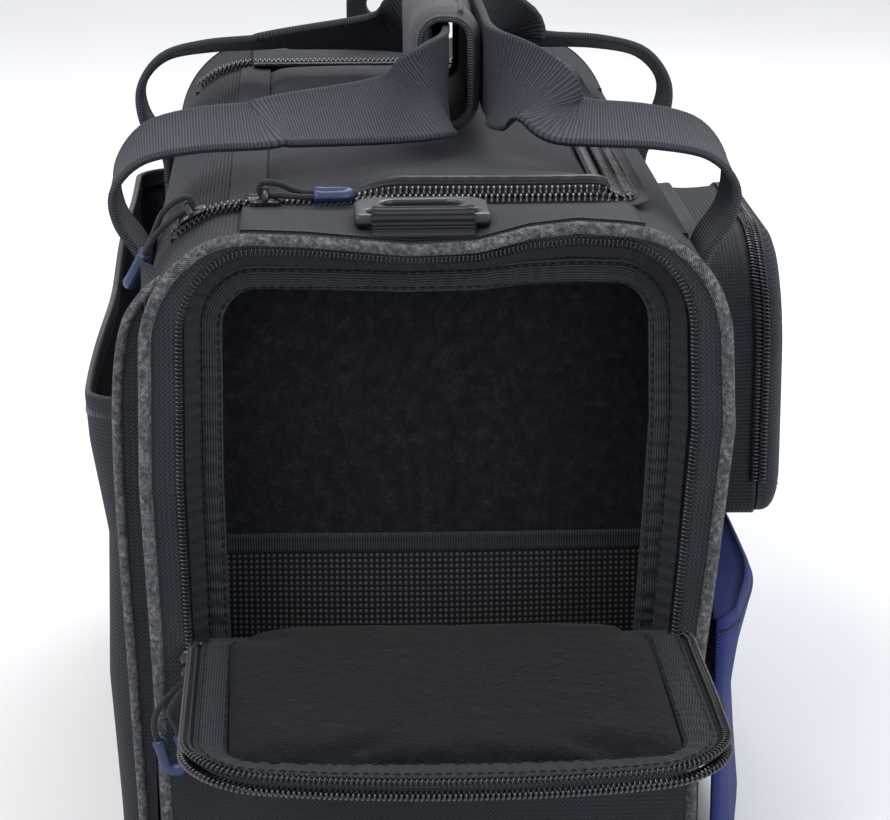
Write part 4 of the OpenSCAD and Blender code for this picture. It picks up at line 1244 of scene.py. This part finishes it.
def handle_path(gx, gz):
    """Middle line of the right handle and the direction across its webbing, front to rear."""
    half = [(HW + 1.6, -LEG_Y, LEG_Z + 0.4), (HW + 2.8, -LEG_Y, LEG_Z + 13),
            (HW + 12, -LEG_Y, LEG_Z + 28), (HW + 13, -LEG_Y - 0.5, LEG_Z + 43),
            (HW + 2, -LEG_Y - 1, LEG_Z + 56), (HW - 18, -LEG_Y - 1, LEG_Z + 61),
            (HW - 42, -LEG_Y, LEG_Z + 62.5), (HW - 54, -LEG_Y + 3, LEG_Z + 64),
            (gx + 18, -LEG_Y + 11, gz - 7), (gx + 4, -LEG_Y + 27, gz - 1.5), (gx, -WRAP / 2 - 2, gz)]
    wide = [(0, 1, 0), (0, 1, 0), (0, 1, 0), (0, 1, 0.1), (0, 1, 0.2), (0, 1, 0.25), (0, 1, 0.28),
            (0, 0.94, 0.34), (0, 0.82, 0.57), (0, 0.4, 0.92), (0, 0, 1)]
    middle = [(gx, -WRAP / 4, gz), (gx, WRAP / 4, gz)]
    rest = [(x, -y, z) for x, y, z in half[::-1]]
    wide_rest = [(x, -y, z) for x, y, z in wide[::-1]]
    return smooth_line(half + middle + rest, 6), smooth_line(wide + [(0, 0, 1)] * 2 + wide_rest, 6)


def strap(name, path, across, wide, thick, material, body, edge=1.3):
    """Flat webbing along a line, with the direction across it given at every point."""
    path = np.asarray(path, float)
    tangent = unit(np.gradient(path, axis=0))
    normal = unit(np.cross(tangent, unit(across)))
    side = unit(np.cross(normal, tangent))
    section = np.array(strap_section(wide, thick, edge))
    ring = np.concatenate([section, section[:1]])
    pts = path[:, None] + ring[None, :, :1] * side[:, None] + ring[None, :, 1:] * normal[:, None]
    run = np.concatenate([[0], np.cumsum(np.linalg.norm(np.diff(path, axis=0), axis=1))])
    v, u = np.meshgrid(run, ring[:, 0], indexing="ij")
    k = len(section)
    faces = quads(len(path), k + 1)
    last = (len(path) - 1) * (k + 1)
    faces += [tuple(range(k - 1, -1, -1)), tuple(range(last, last + k))]
    return make(name, pts.reshape(-1, 3), faces, material, body, np.stack([u, v], 2).reshape(-1, 2))


def handles():
    for word, gx, gz, side, body in (("right", GRIP_R, GRIP_Z + 2, 1, "right_handle"),
                                     ("left", -GRIP_L, GRIP_Z, -1, "left_handle")):
        path, across = handle_path(gx, gz)
        path = path * (side, 1, 1)
        across = across * (side, 1, 1)
        keep = np.clip((path[:, 2] - LEG_Z - 6) / 30, 0, 1) * np.clip((np.abs(path[:, 1]) - 62) / 12, 0, 1)
        path[:, 2] += keep * 0.7 * ripple(path[:, 0] / 16, path[:, 1] / 16, 101)
        piece = strap("handle_" + word + "_webbing", path, across, WEB, 2.4, WEBBING, body)
        label(piece, "webbing", "handle_" + word)


def legs():
    """Handle webbing sewn down the sides, with a row of stitches down each edge."""
    first = True
    for side, z0 in ((1, NAVY_TOP + 0.6), (-1, 15.0)):
        for end in (-1, 1):
            z = np.linspace(z0, LEG_Z + 0.6, 60)
            bow = 0.25 * ripple(z / 20, z * 0, 111)
            line = np.stack([side * (HW + 1.5 + 0 * bow), end * LEG_Y + 0 * z, z], 1)
            across = np.tile((0.0, 1.0, 0.0), (len(z), 1))
            word = "%s_%s" % ("right" if side > 0 else "left", "front" if end < 0 else "rear")
            piece = strap("leg_" + word, line, across, WEB, 2.2, WEBBING, "bag")
            if first:
                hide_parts("handle_legs")
                first = False
            for i, off in enumerate((-WEB / 2 + 3, WEB / 2 - 3)):
                run = np.stack([np.full(20, side * (HW + 2.7)), np.full(20, end * LEG_Y + off),
                                np.linspace(z0 + 4, LEG_Z - 6, 20)], 1)
                stitches("leg_stitch_%s_%d" % (word, i), run, (side, 0, 0), 0.1, "bag")


def leg_bridges():
    """The webbing where a handle swings over its sewn-down leg, as a short straight piece."""
    for side, body in ((1, "right_handle"), (-1, "left_handle")):
        for end in (-1, 1):
            z = np.linspace(LEG_Z - 3.0, LEG_Z + 6.0, 13)
            line = np.stack([side * np.full(13, HW + 1.75), np.full(13, end * LEG_Y), z], 1)
            word = "%s_%s" % ("right" if side > 0 else "left", "front" if end < 0 else "rear")
            across = np.tile((0.0, 1.0, 0.0), (13, 1))
            piece = strap("leg_bridge_" + word, line, across, WEB - 0.3, 2.0, WEBBING, None)
            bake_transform(piece)


def wrap_ring(grow=0.0):
    """Outline of the grip, a soft arch round both webbings, swollen by grow."""
    w, h, r = 11.5 + grow, 46 + 2 * grow, 10 + grow
    z0 = GRIP_Z - 23 - grow
    line = arc(w - r, z0 + r, r, -90, 0, 8).tolist() + arc(w - r, z0 + h - r, r, 0, 90, 8).tolist()
    line += [(-x, z) for x, z in line[::-1]]
    line = even(line + [line[0]], 57)[:-1]
    return np.stack([line[:, 0] + GRIP_L, np.zeros(len(line)), line[:, 1]], 1)


def wrap():
    """Padded grip round the handles, closed along its top, with bound ends."""
    y = np.concatenate([[-WRAP / 2], np.linspace(-WRAP / 2 + 0.6, WRAP / 2 - 0.6, 50), [WRAP / 2]])
    rings = []
    for v in y:
        end = np.clip((WRAP / 2 - abs(v)) / 7, 0, 1)
        swell = -1.6 + 2.0 * end**0.5 + 0.5 * math.sin(v / 9.0) * end
        q = wrap_ring(swell)
        q[:, 1] = v
        q[:, 0] += 0.5 * ripple(q[:, 2] / 12, q[:, 1] / 16, 121)
        rings.append(q)
    p = np.array(rings)
    p = np.concatenate([p, p[:, :1]], 1)
    around = spans(p, 1)
    uv = np.stack(np.meshgrid(around, y, indexing="xy"), 2)
    piece = grid("grip_wrap", p, GRIP, "left_handle", -2.2, uv, True)
    label(piece, "wrap_knit", "handle_wrap")
    for i, v in enumerate((-WRAP / 2 + 0.6, WRAP / 2 - 0.6)):
        q = wrap_ring(-0.8)
        q[:, 1] = v
        ring = np.concatenate([q, q[:2]])
        edge = sweep("grip_binding_%d" % i, ring, ring_section(1.9, 10), (0, 1, 0), BIND_LIGHT, "left_handle")
    y = np.linspace(-WRAP / 2 + 1.5, WRAP / 2 - 1.5, 50)
    lip = np.stack([np.full(50, GRIP_L + 5.6) + 0.5 * np.sin(y / 7), y, np.full(50, GRIP_Z + 22.2)], 1)
    across = np.tile((0.5, 0.0, 1.0), (50, 1))
    edge = strap("grip_closing_edge", lip, across, 7.0, 1.6, BIND_LIGHT, "left_handle")
    run = lip + (1.6, 0, -1.0)
    stitches("grip_stitch", run, (1, 0, 0.3), 0.5, "left_handle")


# ---------------------------------------------------------------- hardware
def moulded(node, name, material, body, voxel=0.5, rounds=4, factor=0.5):
    """A CAD node's own shape with its edges rounded, as it leaves the mould."""
    source = frame["nodes"][node]
    mesh = source.data.copy()
    piece = bpy.data.objects.new(name, mesh)
    bpy.context.scene.collection.objects.link(piece)
    piece.matrix_world = source.matrix_world
    remesh = piece.modifiers.new("even", "REMESH")
    remesh.mode = "VOXEL"
    remesh.voxel_size = voxel * MM
    smooth = piece.modifiers.new("smooth", "SMOOTH")
    smooth.factor = factor
    smooth.iterations = rounds
    evaluated(piece)
    piece.data.materials.clear()
    piece.data.materials.append(material)
    piece.data.polygons.foreach_set("use_smooth", [True] * len(piece.data.polygons))
    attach(piece, body)
    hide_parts(node)
    return piece


def rings():
    for word in ("front", "rear"):
        piece = moulded("strap_ring_" + word, "ring_" + word, RING, word + "_ring", 0.7, 4)


def tab(mirror):
    """Ribbed webbing looped round the ring's bar and sewn to the top."""
    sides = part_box("strap_tab_" + ("rear" if mirror else "front"))
    middle = (sides[0][0] + sides[1][0]) / 2 / MM
    y0, z0 = -(HL - 9), H + 5.1
    line = [(0, y0 + 9.5, H + 1.3), (0, y0 + 5.0, H + 1.5)]
    turn = np.linspace(-0.35, math.pi + 0.35, 16)
    line += [(0, y0 + 4.1 * math.cos(a), z0 + 4.1 * math.sin(a)) for a in turn]
    line += [(0, y0 - 5.2, H + 1.5), (0, y0 - 8.0, H + 1.1)]
    path = flip(resample(smooth_line(line, 4), 1.2), mirror) + (middle, 0, 0)
    across = np.tile((1.0, 0.0, 0.0), (len(path), 1))
    piece = strap(end_name("tab", mirror), path, across, WEB - 0.6, 1.9, TAB, "bag")
    label(piece, "webbing", "strap_tab_" + ("rear" if mirror else "front"))
    x = np.linspace(-WEB / 2 + 3, WEB / 2 - 3, 14) + middle
    run = np.stack([x, np.full(14, y0 + 8.4), np.full(14, H + 2.4)], 1)
    stitches(end_name("tab_stitch", mirror), flip(run, mirror), (0, 0, 1), 0.1, "bag")


def slider_body(name, place, w0, w1, body, node):
    """A zip slider: waisted body with a domed crown, side flanges and a bail for the pull."""
    m, half = (w0 + w1) / 2, (w1 - w0) / 2
    xs = np.linspace(-6, 6, 15)
    rings = []
    for x in xs:
        t = (x + 6) / 12
        waist = 0.72 + 0.28 * abs(math.cos(math.pi * (0.15 + 0.75 * t)))
        w = half * waist * min(1, 0.55 + 2.2 * min(t, 1 - t))
        h = 0.7 + 1.1 * math.sin(math.pi * min(max(t, 0.02), 0.98)) ** 0.6
        a = np.linspace(0, 2 * math.pi, 21)[:-1]
        up = np.where(np.sin(a) > 0, np.sin(a) * h, np.sin(a) * 0.55)
        wing = m + np.sign(np.cos(a)) * np.abs(np.cos(a)) ** 0.6 * w
        rings.append(np.stack([np.full(20, x), wing, 0.75 + up], 1))
    p = np.array(rings)
    pts = np.array([place @ Vector(q) for q in p.reshape(-1, 3)])
    faces = []
    for i in range(len(xs) - 1):
        for j in range(20):
            faces.append((i * 20 + j, i * 20 + (j + 1) % 20, i * 20 + 20 + (j + 1) % 20, i * 20 + 20 + j))
    last = (len(xs) - 1) * 20
    faces += [tuple(range(19, -1, -1)), tuple(range(last, last + 20))]
    shell = make(name, pts, faces, METAL, body, np.stack([p[..., 0], p[..., 1]], 2).reshape(-1, 2))
    label(shell, "slider_metal", node)
    a = np.linspace(-0.2, math.pi + 0.2, 15)
    path = np.array([place @ Vector((0, m + 3.0 * math.cos(t), 2.0 + 3.6 * math.sin(t))) for t in a])
    up = place.to_3x3() @ Vector((1, 0, 0))
    oval = np.array(ring_section(0.85, 8)) * (1.0, 1.6)
    bail = sweep(name + "_bail", path, oval, tuple(up), METAL, body)


def sliders():
    for side, word in ((-1, "left"), (1, "right")):
        place = matrix((side * 92, -HL - 2.55, HINGE_Z - 8), [("X", 90), ("Z", 90)])
        slider_body("front_slide_body_" + word, place, -5, 5, "front_slide_" + word, "front_slider_" + word)
    at = matrix((LID_X0, RUN[1], H - TOP_R), [("Y", -28)]) @ matrix((0, 0, CORNER_R), [])
    slider_body("main_slide_body_corner", at, -4.8, 4.8, "bag", "main_slider_corner")
    slider_body("main_slide_body_run", matrix((RUN[0], RUN[1], H + 2.55), []), -4.8, 4.8, "run_slide",
                "main_slider_run")
    rear = JOINT["rear_slider_travel"]["pos_m"][1] / MM
    place = matrix((0, rear, H - 8 + 0.35 + 7.8), [("X", -90)])
    slider_body("rear_slide_body", place, 0.4, 7.4, "rear_slide", "rear_slider")
    place = matrix((FLAP_X - 2.2, 0, RIGHT_TOP + 2.35), [("Z", 90)])
    slider_body("right_slide_body", place, 0.4, 7.4, "right_slide", "right_slider")
    for word in ("rear", "right"):
        piece = moulded(word + "_puller", word + "_tag", TIP, word + "_pull", 0.35, 3)


# ---------------------------------------------------------------- side pockets
RIGHT_TOP, RIGHT_LOW, RIGHT_HALF = flap_high[2], flap_low[2], flap_high[1]
RIGHT_R = 48.0                              # its top corners


def right_outline(i, step=3.0):
    """Arch of the right pocket, drawn in by i, as Y and Z."""
    return arch(RIGHT_HALF - i, RIGHT_LOW + i, RIGHT_TOP - i, RIGHT_R - i, 12 - min(i, 11), step)


def right_pocket():
    """The bulging pocket on the right side: gusset, arched coil zip, and the padded flap."""
    line = right_outline(0)
    line = np.concatenate([line, line[:1]])
    rows = []
    for x in np.linspace(HW + 0.2, FLAP_X - 2.4, 16):
        t = (x - HW) / (FLAP_X - HW)
        q = np.stack([np.full(len(line), x), line[:, 0], line[:, 1]], 1)
        sag = 1.2 * math.sin(math.pi * t)
        q[:, 2] -= sag * np.clip((q[:, 2] - 150) / 60, 0, 1)
        q[:, 2] += 0.5 * ripple(q[:, 1] / 22, x / 12, 131) * math.sin(math.pi * t)
        q[:, 1] *= 1 - 0.012 * math.sin(math.pi * t)
        rows.append(q)
    piece = grid("right_gusset", np.array(rows), SIDE_NYLON, "bag", 1.2, None, True)
    label(piece, "ballistic_nylon", "right_pocket_gusset")
    arch_line = arch(RIGHT_HALF, RIGHT_LOW + 16, RIGHT_TOP, RIGHT_R, 0, 2.0, False)
    path = np.stack([np.full(len(arch_line), FLAP_X - 2.0), arch_line[:, 0], arch_line[:, 1]], 1)
    centre = np.array([FLAP_X, 0, 180.0])
    tangent = unit(np.gradient(path, axis=0))
    up = unit(np.cross(tangent, (1, 0, 0)))
    up = np.where(((path - centre) * up).sum(1, keepdims=True) < 0, -up, up)
    for name, dx, body, phase in (("right_coil_bag", -1.6, "bag", 0),
                                  ("right_coil_flap", 1.6, "right_pocket_flap", 3.1)):
        c = coil(name, path + (dx, 0, 0) + up * 0.1, up, 0.0, 3.2, 1.7, 1.6, 0.45, body, phase)
    for name, a, b, body, node in (("right_tape_bag", -0.4, -6.5, "bag", "right_zip_fixed"),
                                   ("right_tape_flap", 0.4, 4.6, "right_pocket_flap", "right_zip_flap")):
        t = np.linspace(0, 1, 4)[:, None, None]
        rows = path + (a + (b - a) * t) * (1, 0, 0) + up * (0.25 + 0.1 * np.sin(3 * t))
        piece = grid(name, rows, TAPE, body, 0.0)
        label(piece, "zip_coil", node)
    bulge = right_outline(0)
    bulge = np.concatenate([bulge, bulge[:1]])
    centre = np.array([0.0, 186.0])
    rows = []
    profile = [(0.0, -1.6), (0.0, 0.4), (0.004, 2.2), (0.016, 4.2), (0.04, 6.0), (0.08, 7.6), (0.14, 9.0),
               (0.22, 10.2), (0.34, 11.2), (0.5, 12.0), (0.68, 12.4), (0.86, 12.6), (0.97, 12.7)]
    for t, lift in profile:
        q = bulge * (1 - t) + centre * t
        x = FLAP_X + lift + 0.9 * ripple(q[:, 0] / 24, q[:, 1] / 26, 141) * min(1, t * 6)
        rows.append(np.stack([x, q[:, 0], q[:, 1]], 1))
    p = np.array(rows)
    uv = p[..., 1:] * 1.0
    piece = grid("right_flap_shell", p[:, ::-1], SIDE_NYLON, "right_pocket_flap", 1.3, uv[:, ::-1], True)
    label(piece, "ballistic_nylon", "right_flap")
    seam = right_outline(9.0, 2.0)
    run = np.stack([np.full(len(seam), FLAP_X + 7.4), seam[:, 0], seam[:, 1]], 1)
    stitches("right_flap_stitch", run, (1, 0, 0), 0.6, "right_pocket_flap")
    rib = arch(RIGHT_HALF + 1.2, RIGHT_LOW + 10, RIGHT_TOP + 1.2, RIGHT_R + 1, 0, 2.0, False)
    path = np.stack([np.full(len(rib), HW + 5.0), rib[:, 0], rib[:, 1]], 1)
    across = np.tile((1.0, 0.0, 0.0), (len(path), 1))
    piece = strap("right_gusset_band", path, across, 8, 1.4, BINDING, "bag")


def flap_hinge():
    """Nylon along the foot of the right flap, where it turns down."""
    y = np.linspace(-RIGHT_HALF + 13, RIGHT_HALF - 13, 40)
    rows = []
    for x in np.linspace(FLAP_X - 7, FLAP_X + 3, 11):
        rows.append(np.stack([np.full(40, x), y, np.full(40, RIGHT_LOW - 0.35)], 1))
    piece = grid("flap_hinge_cloth", np.array(rows), SIDE_NYLON, None, 0)
    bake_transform(piece)


NAVY_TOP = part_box("right_lower_panel")[1][2] / MM


def navy_panel():
    """Navy pocket below the flap: it stands out towards its foot and has a bound top."""
    y0 = HL - 30.4
    top = NAVY_TOP
    z = np.concatenate([np.linspace(10.4, top - 12, 30), np.linspace(top - 10, top - 0.4, 6)])
    s = np.linspace(-1, 1, 121)
    p = np.zeros((len(z), len(s), 3))
    for i, zz in enumerate(z):
        up = (zz - 10) / (top - 10)
        depth = float(np.interp(up, [0, 0.15, 0.4, 0.62, 0.8, 1.0], [19, 20, 17, 15, 19, 26]))
        if zz > top - 12:
            depth *= math.sqrt(max(0.0, 1 - ((zz - top + 12) / 11.9) ** 2)) * 0.25 + 0.75
        y = s * y0
        inside = np.clip((y0 - np.abs(y)) / 75, 0, 1)
        bulge = 0.35 * np.clip(inside * 6, 0, 1) ** 0.5 + 0.65 * np.sin(inside * math.pi / 2) ** 1.4
        x = HW + 0.3 + depth * bulge
        x = x + inside * 0.9 * ripple(y / 26, zz / 22 + 0 * y, 151)
        p[i] = np.stack([np.minimum(x, HW + 28), y, np.full(len(s), zz)], 1)
    piece = grid("navy_pocket", p, NAVY, "bag", 1.2)
    label(piece, "navy_nylon", "right_lower_panel")
    top = p[-4] + (0.5, 0, 0.2)
    edge = sweep("navy_binding", top, np.array(ring_section(1.4, 8)), (0, 0, 1), NAVY_EDGE, "bag")
    cover = []
    for t in np.linspace(0, 1, 6):
        row = p[-1].copy()
        row[:, 0] = row[:, 0] * (1 - t) + (HW + 0.2) * t
        row[:, 2] += 0.3 * math.sin(math.pi * t)
        cover.append(row)
    piece = grid("navy_pocket_top", np.array(cover), NAVY, "bag", 1.0)


def slip_pocket():
    """Open pocket on the left side: its mouth sags outwards and is bound with shiny tape."""
    end = 201 - 14 * (1 - np.cos(np.linspace(0.2, 1.5, 8)))
    y = np.concatenate([[-200.8], -end, np.linspace(-184, 184, 70), end[::-1], [200.8]])
    z = np.linspace(11, 221, 54)
    yy, zz = np.meshgrid(y, z)
    inside = np.clip((201 - np.abs(yy)) / 16, 0, 1)
    up = (zz - 10) / 211
    depth = np.interp(up, [0, 0.2, 0.45, 0.72, 0.9, 1.0], [9, 11, 14.5, 12.5, 18.5, 20.0])
    depth = depth + 1.2 * ripple(yy / 40, zz / 34, 161) * inside
    x = -HW - 0.6 - depth * np.sqrt(1 - (1 - inside) ** 2)
    dip = -7.0 * np.exp(-(((yy + 150) / 60) ** 2)) - 3.5 * np.exp(-((yy / 70) ** 2)) + 1.5 * np.sin(yy / 31)
    mouth = np.clip((zz - 150) / 70, 0, 1)
    zz = zz + dip * mouth**2
    p = np.stack([x, yy, zz], 2)
    piece = grid("slip_pocket_shell", p[:, ::-1], SIDE_NYLON, "bag", 1.2)
    label(piece, "ballistic_nylon", "left_slip_pocket")
    top = p[-1]
    tangent = unit(np.gradient(top, axis=0))
    outward = unit(np.cross(tangent, (0, 0, 1.0)))
    across = unit(np.cross(outward, tangent))
    edge = strap("slip_binding", top + outward * 0.2 + (0, 0, -3.4), across, 9.0, 2.0, SHINE, "bag")
    label(edge, "edge_tape", "left_slip_trim")
    floor_rows = []
    for t in np.linspace(0, 1, 4):
        row = p[0].copy()
        row[:, 0] = row[:, 0] * (1 - t) + (-HW - 0.3) * t
        floor_rows.append(row)
    piece = grid("slip_pocket_floor", np.array(floor_rows), SIDE_NYLON, "bag", 1.0)


def carried_over():
    """Materials of the CAD parts that are shown as they are, inside the bag."""
    for word, material in (("side_foam_left", FOAM), ("side_foam_right", FOAM), ("bulkhead_front", FOAM),
                           ("bulkhead_rear", FOAM), ("base_board", BOARD)):
        node = frame["nodes"][word]
        node.data.materials.clear()
        node.data.materials.append(material)


# ---------------------------------------------------------------- floor and light
def floor_paint():
    c = Cloth("floor_paint", 0.9)
    tone = c.noise(3.0, 1.0)
    c.colour(c.ramp(tone, [(0.0, (236, 236, 237)), (1.0, (242, 242, 243))]))
    return c.material


def studio():
    x = np.linspace(-4, 4, 33)
    y = np.concatenate([np.linspace(-2.5, 2.2, 40), np.linspace(2.3, 3.4, 14)])
    verts, faces = [], []
    for yy in y:
        z = 0.0 if yy < 2.2 else 1.6 * (1 - math.sqrt(max(0, 1 - ((yy - 2.2) / 1.2) ** 2)))
        verts += [(xx, yy, z) for xx in x]
    faces = quads(len(y), len(x))
    mesh = bpy.data.meshes.new("floor")
    mesh.from_pydata(verts, [], faces)
    mesh.polygons.foreach_set("use_smooth", [True] * len(faces))
    mesh.materials.append(floor_paint())
    floor = bpy.data.objects.new("floor", mesh)
    bpy.context.scene.collection.objects.link(floor)
    world = bpy.data.worlds.new("studio")
    world.use_nodes = True
    world.node_tree.nodes["Background"].inputs[0].default_value = (0.93, 0.95, 1.0, 1)
    world.node_tree.nodes["Background"].inputs[1].default_value = 0.8
    bpy.context.scene.world = world
    for name, place, size, power, tint in (
        ("key", (-0.9, -0.9, 1.9), 1.2, 26, (1.0, 0.98, 0.95)),
        ("fill", (1.3, -1.1, 1.1), 1.4, 12, (0.92, 0.96, 1.0)),
        ("back", (0.4, 1.3, 1.6), 1.2, 16, (1.0, 1.0, 1.0)),
    ):
        light = bpy.data.lights.new(name, "AREA")
        light.shape = "DISK"
        light.size = size
        light.energy = power
        light.color = tint
        lamp = bpy.data.objects.new(name, light)
        bpy.context.scene.collection.objects.link(lamp)
        lamp.location = place
        lamp.rotation_euler = (Vector((0, -0.1, 0.2)) - Vector(place)).to_track_quat("-Z", "Y").to_euler()
    bpy.context.scene.view_settings.view_transform = "Standard"


# ---------------------------------------------------------------- make it all
make_pulls()
side_piping()
for rear in (False, True):
    end_panel(rear)
    pocket_inside(rear)
    end_zip(rear)
    piping(rear)
    door_outside(rear)
    door_zip(rear)
    door_pad(rear)
    door_hinge_cloth(rear)
    deck(rear)
    tab(rear)
mesh_patch()
side_skin(1)
side_skin(-1)
bottom()
inner_lining()
lid()
lid_hinge()
main_zip()
handles()
legs()
leg_bridges()
wrap()
rings()
sliders()
right_pocket()
flap_hinge()
navy_panel()
slip_pocket()
carried_over()
studio()
